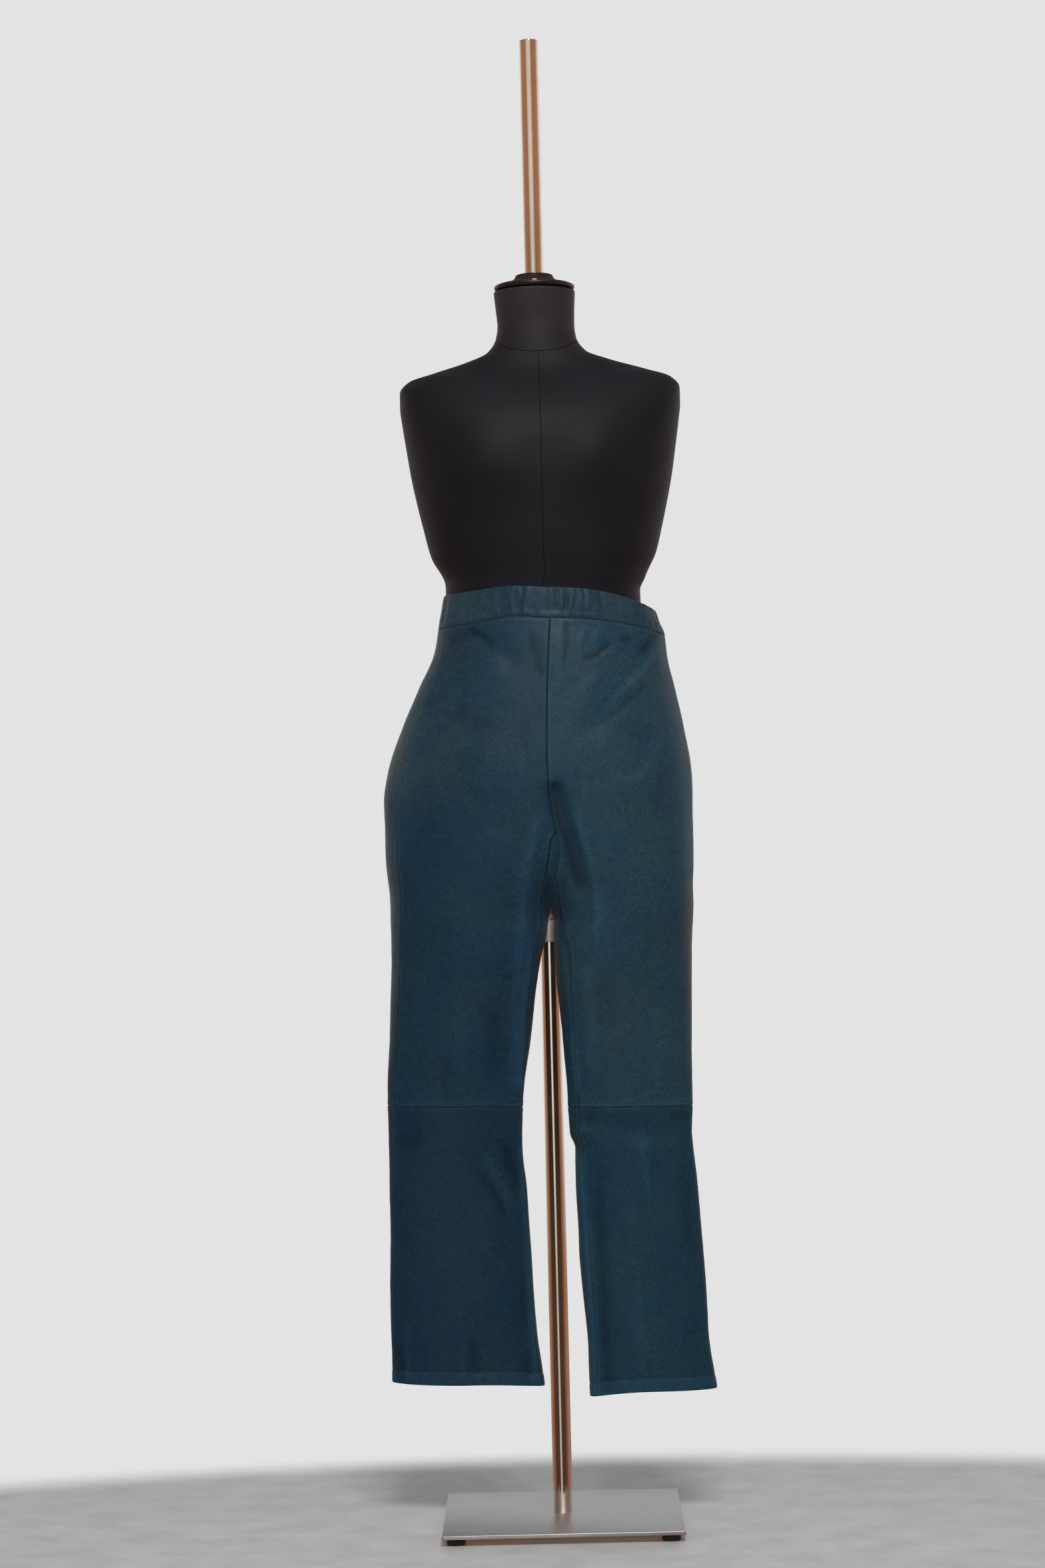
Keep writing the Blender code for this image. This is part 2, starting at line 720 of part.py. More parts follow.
def add_socket():
    """The flange and tube under the form, with its lock screw, and the collar it turns on."""
    bore = pole_radius + bore_clearance
    top = form_low - seam_gap
    low = collar_high + seam_gap
    profile = [
        (socket_flange_radius, top),
        (socket_flange_radius, top - socket_flange),
        (socket_radius, top - socket_flange),
        (socket_radius, low),
        (bore, low),
        (bore, top),
    ]
    add_turned("form_socket", profile, "light_metal")
    start = -socket_radius - seam_gap
    screw = add_object(
        "socket_screw",
        cylinder_mesh("socket_screw", screw_radius, 0, screw_stick_out, 20),
        "light_metal",
        (0, start, screw_height),
    )
    screw.rotation_euler = (math.pi / 2, 0, 0)
    chamfer = 1 * mm
    profile = [
        (collar_radius - chamfer, collar_high),
        (collar_radius, collar_high - chamfer),
        (collar_radius, collar_low + chamfer),
        (collar_radius - chamfer, collar_low),
        (bore, collar_low),
        (bore, collar_high),
    ]
    add_turned("height_collar", profile, "light_metal")


def add_stand():
    plate_low = foot_height + seam_gap
    plate_high = plate_low + plate_thickness
    shape = bmesh.new()
    bmesh.ops.create_cube(shape, size=1)
    bmesh.ops.scale(shape, verts=shape.verts, vec=(plate_side, plate_side, plate_thickness))
    plate = add_object(
        "base_plate",
        mesh_from_bmesh("base_plate", shape),
        "brushed_steel",
        (0, 0, (plate_low + plate_high) / 2),
    )
    edge = plate.modifiers.new("Edge", "BEVEL")
    edge.width = plate_edge
    edge.segments = 2
    reach = plate_side / 2 - foot_inset
    foot_mesh = cylinder_mesh("foot", foot_radius, 0, foot_height, 32)
    for index, (x, y) in enumerate(((-1, -1), (1, -1), (1, 1), (-1, 1)), 1):
        add_object(f"foot_{index}", foot_mesh, "rubber", (x * reach, y * reach, 0))
    pole_low = plate_high + seam_gap
    add_object("pole", cylinder_mesh("pole", pole_radius, pole_low, pole_top), "polished_steel")


clear_scene()
parts = make_collection("leather_trousers_on_form_stand")
cutters = make_collection("cutters")
materials = {name: make_material(name, finish) for name, finish in finishes.items()}
add_stand()
add_socket()
add_form()
add_neck_cap()
add_waistband()
for trouser_half in halves:
    add_leg_panels(trouser_half)
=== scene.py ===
import math

import bmesh
import bpy
import numpy as np
from mathutils import Matrix, Vector


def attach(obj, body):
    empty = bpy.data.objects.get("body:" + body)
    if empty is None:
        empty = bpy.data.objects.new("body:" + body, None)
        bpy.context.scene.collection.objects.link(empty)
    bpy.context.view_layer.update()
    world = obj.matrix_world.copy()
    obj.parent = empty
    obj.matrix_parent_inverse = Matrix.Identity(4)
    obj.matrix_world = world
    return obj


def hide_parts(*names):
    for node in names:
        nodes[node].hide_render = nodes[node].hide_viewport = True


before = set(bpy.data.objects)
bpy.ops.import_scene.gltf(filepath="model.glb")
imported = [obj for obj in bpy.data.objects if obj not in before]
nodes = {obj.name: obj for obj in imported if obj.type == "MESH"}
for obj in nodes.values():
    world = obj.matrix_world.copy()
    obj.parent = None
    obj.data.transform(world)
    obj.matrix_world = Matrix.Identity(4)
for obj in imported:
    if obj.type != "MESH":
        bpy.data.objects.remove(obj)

scene = bpy.context.scene
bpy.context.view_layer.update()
mm = 0.001
print("frame loaded:", len(nodes), "nodes")


# camera
view = {
    "place": (0.001, -4.590, 0.845),
    "aim": (-0.031, 0.0, 0.9695),
    "roll": -1.35,   # degrees; the stand leans a little
    "lens": 79.93,
}


def addCamera():
    place = Vector(view["place"])
    forward = (Vector(view["aim"]) - place).normalized()
    right = forward.cross(Vector((0, 0, 1))).normalized()
    up = right.cross(forward)
    roll = math.radians(view["roll"])
    turnedRight = right * math.cos(roll) + up * math.sin(roll)
    turnedUp = up * math.cos(roll) - right * math.sin(roll)
    data = bpy.data.cameras.new("mainCamera")
    data.lens = view["lens"]
    data.sensor_width = 36
    data.clip_end = 60
    camera = bpy.data.objects.new("mainCamera", data)
    scene.collection.objects.link(camera)
    turn = Matrix((turnedRight, turnedUp, -forward)).transposed().to_4x4()
    camera.matrix_world = Matrix.Translation(place) @ turn
    scene.camera = camera


addCamera()
print("camera placed")


# small helpers for node materials
def fillInputs(tree, node, values):
    # each value is a plain one or the output of another node
    for place, value in values.items():
        if isinstance(value, bpy.types.NodeSocket):
            tree.links.new(value, node.inputs[place])
        else:
            node.inputs[place].default_value = value


def makeNode(tree, kind, settings=None, numbered=None, **named):
    node = tree.nodes.new("ShaderNode" + kind)
    for name, value in (settings or {}).items():
        setattr(node, name, value)
    fillInputs(tree, node, {name.replace("_", " "): value for name, value in named.items()})
    fillInputs(tree, node, numbered or {})
    return node


def makeRamp(tree, source, *stops):
    # each stop is its position and its colour
    ramp = makeNode(tree, "ValToRGB", Fac=source)
    elements = ramp.color_ramp.elements
    while len(elements) < len(stops):
        elements.new(0.5)
    for element, (position, colour) in zip(elements, stops):
        element.position = position
        element.color = (*colour, 1.0)
    return ramp.outputs["Color"]


def makeMaterial(name, roughness, metallic=0.0):
    material = bpy.data.materials.new(name)
    material.use_nodes = True
    shader = material.node_tree.nodes["Principled BSDF"]
    shader.inputs["Roughness"].default_value = roughness
    shader.inputs["Metallic"].default_value = metallic
    return material, material.node_tree, shader


def objectCoordinates(tree, stretch=(1, 1, 1)):
    place = makeNode(tree, "TexCoord").outputs["Object"]
    return makeNode(tree, "Mapping", Vector=place, Scale=stretch).outputs["Vector"]


def noiseAt(tree, where, scale, detail=3.0, roughness=0.5, distortion=0.0):
    look = {"Scale": scale, "Detail": detail, "Roughness": roughness, "Distortion": distortion}
    return makeNode(tree, "TexNoise", Vector=where, **look).outputs["Fac"]


def rangeOf(tree, source, low, high, fromLow=0.0, fromHigh=1.0, kind="LINEAR"):
    limits = {"From_Min": fromLow, "From_Max": fromHigh, "To_Min": low, "To_Max": high}
    spread = makeNode(tree, "MapRange", {"interpolation_type": kind}, Value=source, **limits)
    return spread.outputs["Result"]


def mathOf(tree, operation, *values):
    return makeNode(tree, "Math", {"operation": operation}, dict(enumerate(values))).outputs["Value"]


def mixOf(tree, factor, first, second, **settings):
    numbered = {6: first, 7: second}   # the two colours of a Mix node
    return makeNode(tree, "Mix", {"data_type": "RGBA", **settings}, numbered, Factor=factor).outputs[2]


def bumpOn(tree, shader, height, strength, distance, below=None):
    bump = makeNode(tree, "Bump", Strength=strength, Distance=distance, Height=height)
    if below is not None:
        fillInputs(tree, bump, {"Normal": below})
    fillInputs(tree, shader, {"Normal": bump.outputs["Normal"]})
    return bump.outputs["Normal"]


# finishes
leatherLook = {
    "deep": (0.0090, 0.0390, 0.0690),
    "middle": (0.0125, 0.0490, 0.0800),
    "wearAndPaintedLight": (0.0185, 0.0570, 0.0840),
    "bluer": (0.0105, 0.0430, 0.0860),
    "greyer": (0.0190, 0.0500, 0.0660),
    # tint of the painted warm reflection over the hips and the sides of the waistband
    "reflectionTint": (2.2, 1.25, 1.0),
    "roughLow": 0.40,
    "roughHigh": 0.50,
    "specular": 0.22,
    "speckle": 0.24,         # how much the fine grain lightens and darkens the dye
    "blotch": 0.08,
    "grainScale": 1150.0,    # grains a metre
    "grainHeight": 0.00010,
    "grainWander": 0.0012,
    "softHeight": 0.00035,
}


def leatherMaterial(name, look):
    material, tree, shader = makeMaterial(name, 0.5)
    where = objectCoordinates(tree)
    cloudy = noiseAt(tree, where, 9.0, 4.0, 0.55)
    mottle = noiseAt(tree, where, 420.0, 3.0, 0.6)
    blend = mathOf(tree, "MULTIPLY_ADD", mottle, 0.35, rangeOf(tree, cloudy, 0.05, 0.60, 0.3, 0.7))
    colour = makeRamp(tree, blend, (0.1, look["deep"]), (0.5, look["middle"]), (0.95, look["wearAndPaintedLight"]))
    # slow drifts of the dye between blue and grey green, then each panel's painted light and shade
    drift = noiseAt(tree, where, 17.0)
    hue = makeRamp(tree, drift, (0.36, look["bluer"]), (0.64, look["greyer"]))
    panelShading = makeNode(tree, "ObjectInfo").outputs["Color"]
    toned = mixOf(tree, 1.0, mixOf(tree, 0.5, colour, hue), panelShading, blend_type="MULTIPLY")
    # painted warm reflection, stored on the points
    reflectionShare = makeNode(tree, "Attribute", {"attribute_name": "warmth"}).outputs["Fac"]
    reflectionTint = (*look["reflectionTint"], 1.0)
    withPaintedReflection = mixOf(tree, reflectionShare, toned, reflectionTint, blend_type="MULTIPLY", clamp_factor=False)
    # fine grain and blotches, and the painted light and shade that each point of the cloth carries
    sparkles = []
    for scale, detail, depth in ((560.0, 2.0, look["speckle"]), (130.0, 3.0, look["blotch"])):
        speck = noiseAt(tree, where, scale, detail)
        sparkles.append(rangeOf(tree, speck, 1 - depth, 1 + depth, 0.36, 0.64))
    sparkle = mathOf(tree, "MULTIPLY", *sparkles)
    # painted light and shade: highlights on ridges and folds, shade in troughs, seam grooves and the crotch
    # hollow
    wearAndPaintedLight = makeNode(tree, "Attribute", {"attribute_name": "paintedLightTone"}).outputs["Fac"]
    grainAndPaintedLight = mathOf(tree, "MULTIPLY_ADD", wearAndPaintedLight, sparkle, sparkle)
    grained = makeNode(tree, "VectorMath", {"operation": "SCALE"}, {0: withPaintedReflection}, Scale=grainAndPaintedLight)
    wander = makeNode(tree, "TexNoise", Vector=where, Scale=380.0, Detail=2.0).outputs["Color"]
    shift = {0: wander, 1: (look["grainWander"],) * 3, 2: where}
    bent = makeNode(tree, "VectorMath", {"operation": "MULTIPLY_ADD"}, shift).outputs["Vector"]
    cells = {"Scale": look["grainScale"], "Smoothness": 0.5, "Randomness": 1.0}
    grain = makeNode(tree, "TexVoronoi", {"feature": "SMOOTH_F1"}, Vector=bent, **cells)
    soft = noiseAt(tree, where, 75.0, 5.0, 0.6, 0.4)
    under = bumpOn(tree, shader, soft, 0.35, look["softHeight"])
    bumpOn(tree, shader, grain.outputs["Distance"], 0.45, look["grainHeight"], under)
    fillInputs(tree, shader, {
        "Base Color": grained.outputs["Vector"],
        "Roughness": rangeOf(tree, mottle, look["roughLow"], look["roughHigh"], 0.3, 0.7),
        "IOR": 1.48,
        "Specular IOR Level": look["specular"],
    })
    return material


def liningMaterial():
    material, tree, shader = makeMaterial("suedeInside", 0.9)
    nap = noiseAt(tree, objectCoordinates(tree), 700.0, 4.0, 0.7)
    colour = makeRamp(tree, nap, (0.3, (0.010, 0.016, 0.022)), (0.7, (0.026, 0.036, 0.044)))
    fillInputs(tree, shader, {"Base Color": colour})
    bumpOn(tree, shader, nap, 0.6, 0.0002)
    return material


def threadMaterial(name, dark, light, shine=0.5, sheen=0.25):
    material, tree, shader = makeMaterial(name, 0.6)
    twist = noiseAt(tree, objectCoordinates(tree, (1, 1, 2.5)), 2200.0, 2.0)
    colour = makeRamp(tree, twist, (0.35, dark), (0.65, light))
    bumpOn(tree, shader, twist, 0.5, 0.00008)
    fillInputs(tree, shader, {"Base Color": colour, "Specular IOR Level": shine, "Sheen Weight": sheen})
    return material


jerseyLook = {
    "dark": (0.0045, 0.0051, 0.0078),
    "light": (0.0088, 0.0094, 0.0136),
    "neckHighlight": (4.4, 3.1, 2.5),    # painted highlight that makes the neck paler
    "neckHighlightFrom": 1.525, "neckHighlightTo": 1.575,
    "sheenTint": (0.54, 0.46, 0.50),
}


def jerseyMaterial(look):
    material, tree, shader = makeMaterial("blackJersey", 0.62)
    where = objectCoordinates(tree)
    bands = {"wave_type": "BANDS", "bands_direction": "Z"}
    waviness = {"Scale": 310.0, "Distortion": 1.4, "Detail": 2.0, "Detail_Scale": 3.0}
    ribs = makeNode(tree, "TexWave", bands, Vector=where, **waviness)
    fuzz = noiseAt(tree, where, 950.0, 3.0, 0.65)
    cloudy = noiseAt(tree, where, 11.0)
    blend = mathOf(tree, "MULTIPLY_ADD", fuzz, 0.5, rangeOf(tree, cloudy, 0.0, 0.5, 0.3, 0.7))
    colour = makeRamp(tree, blend, (0.2, look["dark"]), (0.8, look["light"]))
    up = makeNode(tree, "SeparateXYZ", Vector=where).outputs["Z"]
    # painted highlight over the neck
    neckHighlightShare = rangeOf(tree, up, 0.0, 1.0, look["neckHighlightFrom"], look["neckHighlightTo"])
    colour = mixOf(tree, neckHighlightShare, colour, (*look["neckHighlight"], 1.0), blend_type="MULTIPLY")
    under = bumpOn(tree, shader, ribs.outputs["Fac"], 0.25, 0.00012)
    bumpOn(tree, shader, fuzz, 0.35, 0.00010, under)
    fillInputs(tree, shader, {
        "Base Color": colour,
        "Specular IOR Level": 0.28,
        "Sheen Weight": 0.14,
        "Sheen Roughness": 0.5,
        "Sheen Tint": (*look["sheenTint"], 1.0),
    })
    return material


def capMaterial():
    material, tree, shader = makeMaterial("darkLacquer", 0.24)
    rings = noiseAt(tree, objectCoordinates(tree, (1, 1, 9)), 60.0, 4.0, 0.6)
    colour = makeRamp(tree, rings, (0.3, (0.013, 0.008, 0.006)), (0.75, (0.030, 0.018, 0.013)))
    wear = noiseAt(tree, objectCoordinates(tree), 240.0, 5.0, 0.65)
    rough = rangeOf(tree, wear, 0.30, 0.44, 0.3, 0.7)
    bumpOn(tree, shader, wear, 0.15, 0.00006)
    fillInputs(tree, shader, {"Base Color": colour, "Roughness": rough})
    fillInputs(tree, shader, {"Coat Weight": 0.12, "Coat Roughness": 0.28})
    return material


def metalMaterial(name, dull, bright, roughLow, roughHigh, stretch, scale, bumpHeight):
    # brushed or polished metal: noise drawn out along the direction of the brushing
    material, tree, shader = makeMaterial(name, roughLow, 1.0)
    streaks = noiseAt(tree, objectCoordinates(tree, stretch), scale, 5.0, 0.6)
    smudge = noiseAt(tree, objectCoordinates(tree), 22.0, 4.0, 0.6)
    brushed = rangeOf(tree, streaks, roughLow, roughHigh, 0.3, 0.7)
    smeared = rangeOf(tree, smudge, 0.0, 0.05, 0.4, 0.7)
    bumpOn(tree, shader, streaks, 0.3, bumpHeight)
    fillInputs(tree, shader, {
        "Base Color": makeRamp(tree, smudge, (0.3, dull), (0.7, bright)),
        "Roughness": mathOf(tree, "ADD", brushed, smeared),
    })
    return material


def rubberMaterial():
    material, tree, shader = makeMaterial("blackRubber", 0.75)
    dust = noiseAt(tree, objectCoordinates(tree), 320.0, 5.0, 0.7)
    colour = makeRamp(tree, dust, (0.35, (0.012, 0.012, 0.012)), (0.8, (0.045, 0.043, 0.040)))
    rough = rangeOf(tree, dust, 0.6, 0.85, 0.3, 0.7)
    fillInputs(tree, shader, {"Base Color": colour, "Roughness": rough})
    bumpOn(tree, shader, dust, 0.4, 0.0001)
    return material


leather = leatherMaterial("tealLeather", leatherLook)
# a shaded copy of the leather, with less shine and a greyer dye, for the strip between the legs that the
# other leg shades
shadedInnerLook = {
    **leatherLook,
    "specular": 0.07,
    "deep": (0.0140, 0.0400, 0.0620),
    "middle": (0.0190, 0.0500, 0.0715),
    "wearAndPaintedLight": (0.0260, 0.0580, 0.0760),
}
shadedInnerLeather = leatherMaterial("tealLeatherShadedInner", shadedInnerLook)
suede = liningMaterial()
hemThread = threadMaterial("paleBlueThread", (0.05, 0.10, 0.13), (0.13, 0.21, 0.25))
bandThread = threadMaterial("blueThread", (0.03, 0.06, 0.09), (0.09, 0.14, 0.18))
seamThread = threadMaterial("blackThread", (0.002, 0.002, 0.002), (0.004, 0.004, 0.005), 0.05, 0.0)
jersey = jerseyMaterial(jerseyLook)
lacquer = capMaterial()
tubeMetal = metalMaterial(
    "warmPolishedTube", (0.80, 0.68, 0.60), (0.90, 0.80, 0.72), 0.07, 0.11, (8, 8, 900), 4.0, 0.00001
)
satinMetal = metalMaterial(
    "satinAluminium", (0.72, 0.74, 0.76), (0.88, 0.89, 0.90), 0.34, 0.50, (20, 20, 400), 9.0, 0.00004
)
plateMetal = metalMaterial(
    "brushedSteel", (0.66, 0.66, 0.67), (0.83, 0.83, 0.84), 0.36, 0.46, (900, 12, 12), 3.0, 0.00003
)
screwMetal = metalMaterial(
    "zincScrew", (0.62, 0.62, 0.60), (0.80, 0.80, 0.78), 0.22, 0.32, (60, 60, 60), 8.0, 0.00003
)
rubber = rubberMaterial()
print("finishes made")


# objects and meshes
sharpFrom = math.radians(48)   # edges that bend more than this stay crisp


def addPiece(name, vertices, faces, materials, slots=None, body="form", slot=None):
    mesh = bpy.data.meshes.new(name)
    mesh.from_pydata([tuple(vertex) for vertex in vertices], [], [tuple(face) for face in faces])
    for material in materials:
        mesh.materials.append(material)
    if slots is not None:
        mesh.polygons.foreach_set("material_index", np.asarray(slots, np.int32))
    mesh.shade_smooth()
    mesh.set_sharp_from_angle(angle=sharpFrom)
    mesh.update()
    piece = bpy.data.objects.new(name, mesh)
    scene.collection.objects.link(piece)
    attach(piece, body)
    return piece


def gridFaces(rows, columns, closed=False, start=0, looped=False):
    # closed joins the last column to the first, looped the last row to the first
    faces = []
    for row in range(rows if looped else rows - 1):
        low, high = start + row * columns, start + (row + 1) % rows * columns
        for column in range(columns if closed else columns - 1):
            following = (column + 1) % columns
            faces.append((low + column, low + following, high + following, high + column))
    return faces


def endFaces(rows, columns, start=0):
    # the two flat ends of a bar made of closed rows
    last = start + (rows - 1) * columns
    return [tuple(reversed(range(start, start + columns))), tuple(range(last, last + columns))]


def turned(name, profile, material, segments, body="form", slot=None, closed=True):
    # a profile of (radius, height) in millimetres turned round the pole's axis
    angles = np.linspace(0, math.tau, segments, endpoint=False)
    rings = []
    for radius, height in profile:
        across = radius * mm
        level = np.full(segments, height * mm)
        rings.append(np.stack([across * np.cos(angles), across * np.sin(angles), level], 1))
    faces = gridFaces(len(profile), segments, True, looped=closed)
    return addPiece(name, np.concatenate(rings), faces, [material], body=body, slot=slot)


def weld(piece):
    # merge the points that meet, and turn every face outwards
    mesh = bmesh.new()
    mesh.from_mesh(piece.data)
    bmesh.ops.remove_doubles(mesh, verts=mesh.verts, dist=1e-6)
    bmesh.ops.recalc_face_normals(mesh, faces=mesh.faces)
    mesh.to_mesh(piece.data)
    mesh.free()


def runAlong(path):
    # how far along its path each point lies
    return np.concatenate([[0], np.cumsum(np.linalg.norm(np.diff(path, axis=0), axis=1))])


def pointAt(at, run, path):
    return np.stack([np.interp(at, run, path[:, axis]) for axis in range(3)], -1)


def unitVectors(vectors):
    return vectors / np.maximum(np.linalg.norm(vectors, axis=-1, keepdims=True), 1e-9)


def smoothStep(value):
    value = np.clip(value, 0, 1)
    return value * value * (3 - 2 * value)


# the trousers: one table of sections for each leg with its side of the seat
sectionNames = ("level", "out", "inner", "front", "back", "round", "lean")
rightSections = [
    (1222, 129, -10, 95.5, 91.5, 2.2, 0),
    (1202, 132, -10, 98, 95, 2.2, 0),
    (1180, 137, -10, 101, 99, 2.2, 0),
    (1150, 142.5, -8, 106, 108, 2.2, 0),
    (1100, 165, -5, 112, 120, 2.25, 0),
    (1045, 189, -3, 117, 130, 2.3, 0),
    (990, 208, -2, 120, 135, 2.3, 0),
    (950, 214, -5, 119, 135, 2.3, 0),
    (905, 213, -12, 117, 130, 2.3, 0),
    (881, 213, -15, 112.5, 124, 2.3, 0),
    (855, 212, -11.4, 107, 118, 2.3, 0),
    (833, 210, -6.5, 102, 111, 2.3, 0),
    (808, 209, -2.9, 96, 102, 2.3, 5),
    (785, 209, -2.0, 90, 92, 2.3, 13),
    (773, 208.5, 1.0, 86.5, 87, 2.3, 17),
    (743, 209, 11.5, 78.5, 76, 2.2, 22),
    (708, 210, 17.5, 69.5, 64, 2.2, 16),
    (640, 213.5, 27.5, 54, 48, 2.1, 5),
    (552, 218, 40, 34, 32, 2.0, 0),
    (500, 218.5, 41.5, 31, 29, 2.0, 0),
    (440, 218, 37, 30, 29, 2.0, 0),
    (340, 219, 33, 30, 30, 2.0, 0),
    (265, 221, 28, 31, 31, 2.0, 0),
    (186, 220.5, 18, 32, 32, 2.0, 0),
]
leftSections = [
    (1222, 150, 10, 95.5, 91.5, 2.2, 0),
    (1202, 154, 10, 98, 95, 2.2, 0),
    (1180, 161, 10, 101, 99, 2.2, 0),
    (1150, 164, 8, 106, 108, 2.2, 0),
    (1100, 174, 5, 112, 120, 2.25, 0),
    (1045, 184.5, 3, 117, 130, 2.3, 0),
    (990, 191.5, 2, 120, 135, 2.3, 0),
    (950, 193, 5, 119, 135, 2.3, 0),
    (905, 193, 12, 117, 130, 2.3, 0),
    (881, 192.5, 15, 112.5, 124, 2.3, 0),
    (855, 191.5, 11, 107, 118, 2.3, 0),
    (833, 190, 6, 102, 111, 2.3, 0),
    (808, 190, 2.4, 96, 102, 2.3, 5),
    (785, 189, 3, 90, 92, 2.3, 13),
    (773, 188, 3.6, 86.5, 87, 2.3, 18),
    (743, 186.5, 5.8, 78.5, 76, 2.2, 25),
    (708, 185, 7, 69.5, 64, 2.2, 24),
    (672, 184.5, 9, 61.5, 56, 2.1, 14),
    (640, 184, 11.5, 54, 48, 2.1, 8),
    (546, 182.5, 14.5, 34, 32, 2.0, 0),
    (509, 181, 18, 31, 29, 2.0, 0),
    (490, 182, 26, 31, 29, 2.0, 0),
    (440, 186, 26, 30, 29, 2.0, 0),
    (372, 191, 28, 30, 29, 2.0, 0),
    (300, 194.5, 32, 30, 30, 2.0, 0),
    (235, 197.5, 37, 31, 31, 2.0, 0),
    (170, 205, 39, 32, 32, 2.0, 0),
]
# how far each side of a level is lifted
tiltNames = ("level", "side", "front", "back", "inner")
rightTilts = [
    (1222, -3, -1, 19, 0), (1180, -5, 0.5, 20, 0), (905, 0, 0, 0, 0),
    (548, 3, 0, -1, -3), (186, 2.5, -0.5, -7, -6.5),
]
leftTilts = [
    (1222, -29, -1, 19, 0), (1180, -19, 0.5, 20, 0), (905, 0, 0, 0, 0),
    (543, -1.5, 0, -1, 0.5), (170, 1.5, 2, -7, -6),
]
# how far the side seam and the inseam lie inside the silhouette
seamNames = ("level", "side", "inner")
rightSeams = [
    (1180, 12, 0), (1000, 20, 0), (905, 19, 0), (893, 19, 9), (872, 18.5, 13.5), (808, 17, 14),
    (743, 14, 12), (552, 10, 2.5), (455, 8, 3), (304, 6, 7), (186, 6, 13),
]
leftSeams = [
    (1180, 3, 0), (905, 4.5, 0), (850, 3, 0), (838, 2.5, 4.5), (808, 1, 12.5), (781, 0.7, 16.5),
    (742, 0.5, 20), (601, 0.5, 17), (546, 0.5, 19), (477, 0.5, 11), (354, 0.5, 14), (170, 0.5, 9),
]
# broad folds: from one point to the other in the front view, then width and depth
broadFolds = [
    (12, 955, 52, 834, 13, 6),
    (-88, 1168, -44, 1128, 16, 3),
    (148, 1138, 62, 1038, 18, 3.5),
    (-92, 476, -38, 408, 22, 3),
    (60, 517, 150, 505, 16, 3),
]
# the cut of the trousers in millimetres; each tone paints light (plus) or shade (minus) onto the dye's own
# colour
cut = {
    "waist": 1180,
    "bandTop": 1222,
    "crotch": 905,
    "frontParting": 918,
    "backParting": 950,
    "closing": 785,
    "eye": 27.5,
    "poleRoom": 17,
    "eyeBlend": 6,
    "hemDepth": 16,
    # painted highlight on the turned-up hem
    "hemHighlight": 0.34,
    "grooveShade": -0.42,     # painted shade in the groove of a seam
    "foldHighlight": 0.16,        # painted highlight on the fold beside it
    "centreTone": 0.45,      # how much of both shows at the centre seam
    "backCreaseShading": 0.075,       # painted light on ridges and painted shade in troughs, for each millimetre of a crease of the back
    "unevenness": 0.45,      # slow waves of the cloth
    "ripples": 0.10,         # quick waves of the cloth
    "pucker": 0.10,
    "wall": 1.2,
    "hemWall": 2.5,
    "spacing": 3.6,
    "seamGap": 0.1,
    "rollWidth": 1.5,
    "rollDepth": 1.15,
    "allowanceWidth": 7.5,
    "allowanceHeight": 0.32,
}
# the front of the waist rises a little to one side of the middle
waistRise = {"middle": -45, "width": 38, "height": 4.5, "from": 1100}
legs = {
    "right": {
        "sign": -1, "sections": rightSections, "tilts": rightTilts, "seams": rightSeams,
        "knee": 548, "hem": 186, "inseamTop": 905, "warmth": (0.35, 1.0),
    },
    "left": {
        "sign": 1, "sections": leftSections, "tilts": leftTilts, "seams": leftSeams,
        "knee": 543, "hem": 170, "inseamTop": 850, "warmth": (0.0, 0.2),
    },
}


def readTable(rows, names, column, level):
    # a smooth curve through one column, with no overshoot between its rows
    known = np.array([row[0] for row in rows], float)[::-1]
    values = np.array([row[names.index(column)] for row in rows], float)[::-1]
    steps = np.diff(known)
    slopes = np.diff(values) / steps
    tangents = np.zeros(len(values))
    tangents[0] = slopes[0]
    tangents[-1] = slopes[-1]
    product = slopes[:-1] * slopes[1:]
    both = slopes[:-1] + slopes[1:]
    tangents[1:-1] = np.where(product > 0, 2 * product / np.where(both == 0, 1, both), 0)
    level = np.clip(level, known[0], known[-1])
    index = int(np.clip(np.searchsorted(known, level) - 1, 0, len(steps) - 1))
    step = steps[index]
    along = (level - known[index]) / step
    return float(
        values[index] * (1 + 2 * along) * (1 - along) ** 2
        + values[index + 1] * along**2 * (3 - 2 * along)
        + step * tangents[index] * along * (1 - along) ** 2
        - step * tangents[index + 1] * along**2 * (1 - along)
    )


def tiltAt(rows, column, level):
    known = [row[0] for row in reversed(rows)]
    return float(np.interp(level, known, [row[tiltNames.index(column)] for row in reversed(rows)]))


def rounded(wave, power):
    return np.sign(wave) * np.abs(wave) ** (2 / power)


def partingAngle(level, start):
    # where a section ends: 90 degrees at the centre line, 180 where the leg is closed
    share = np.clip((start - level) / (start - cut["closing"]), 0, 1)
    return float(90 + 90 * share**2)


def sectionAt(leg, level):
    section = {name: readTable(leg["sections"], sectionNames, name, level) for name in sectionNames[1:]}
    for face, start in (("frontArc", cut["frontParting"]), ("backArc", cut["backParting"])):
        angle = partingAngle(level, start)
        end = float(rounded(np.cos(np.radians(angle)), section["round"]))
        halfWidth = (section["out"] - section["inner"]) / (1 - end)
        section[face] = {"angle": angle, "end": end, "half": halfWidth, "middle": section["out"] - halfWidth}
    for column in tiltNames[1:]:
        section["tilt" + column] = tiltAt(leg["tilts"], column, level)
    section["room"] = float(np.interp(level, (752, 768), (cut["poleRoom"], cut["eye"])))
    return section


def insetAngle(section, inset, outer):
    arc = section["frontArc"]
    wave = 1 - inset / arc["half"] if outer else arc["end"] + inset / arc["half"]
    wave = float(np.clip(wave, -1, 1))
    return math.degrees(math.acos(math.copysign(abs(wave) ** (section["round"] / 2), wave)))


